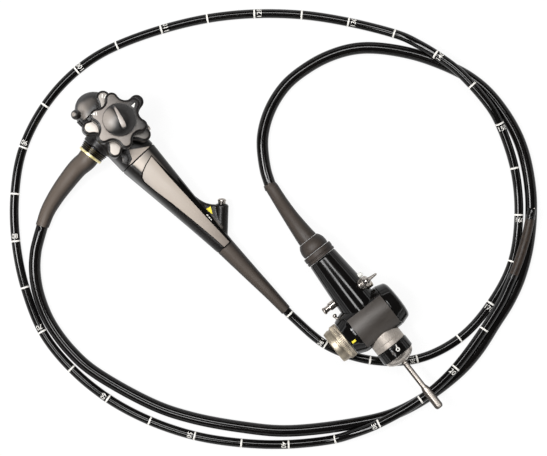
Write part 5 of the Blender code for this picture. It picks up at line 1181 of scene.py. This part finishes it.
floorMesh.materials.append(tablePaper)
floor = bpy.data.objects.new("tableTop", floorMesh)
scene.collection.objects.link(floor)

# The room is white at its walls and dark overhead, so glossy black stays black from above
world = bpy.data.worlds.new("studio")
scene.world = world
world.use_nodes = True
tree = world.node_tree
tree.nodes.clear()
looking = addNode(tree, "ShaderNodeTexCoord")
parts = addNode(tree, "ShaderNodeSeparateXYZ", {}, {0: looking.outputs["Generated"]})
walls = addNode(tree, "ShaderNodeValToRGB", {
    "stops": ((0.0, hexLinear("#ffffff")), (0.06, hexLinear("#ffffff")), (0.3, hexLinear("#4a4a4a")))},
    {"Fac": parts.outputs["Z"]})
power = addNode(tree, "ShaderNodeMapRange", {"To Min": 0.3, "To Max": 1.0}, {"Value": seenRays(tree)})
sky = addNode(tree, "ShaderNodeBackground", {},
    {"Color": walls.outputs["Color"], "Strength": power.outputs["Result"]})
addNode(tree, "ShaderNodeOutputWorld", {}, {"Surface": sky.outputs[0]})

# A small bright box to the left, a high arc of strips that draws a line along every tube and a low ring round all
softboxes = {
    "leftOverheadBox": {"at": (-0.95, 0.02, 1.7), "size": (0.36, 0.36), "radiance": 28.0},
}
stripArcs = {
    "lowStrip": {"count": 8, "from": 0.0, "to": 315.0, "radius": 1.75, "height": 0.62, "size": (1.4, 0.14),
        "radiance": 3.0},
    "highStrip": {"count": 7, "from": 45.0, "to": 245.0, "radius": 0.7, "height": 1.9, "size": (0.36, 0.36),
        "radiance": 15.0},
}
for name, arc in stripArcs.items():
    for k in range(arc["count"]):
        turn = radians(arc["from"] + (arc["to"] - arc["from"]) * k / (arc["count"] - 1))
        softboxes[f"{name}_{k + 1}"] = {"at": (arc["radius"] * cos(turn), arc["radius"] * sin(turn), arc["height"]),
                                        "size": arc["size"], "radiance": arc["radiance"]}
for name, box in softboxes.items():
    lamp = bpy.data.lights.new(name, "AREA")
    lamp.shape = "RECTANGLE"
    lamp.size, lamp.size_y = box["size"]
    lamp.energy = box["radiance"] * box["size"][0] * box["size"][1] * pi
    holder = bpy.data.objects.new(name, lamp)
    holder.location = box["at"]
    holder.rotation_euler = (Vector((0.03, 0.02, 0)) - Vector(box["at"])).to_track_quat("-Z", "Y").to_euler()
    scene.collection.objects.link(holder)
print("table and lights set")
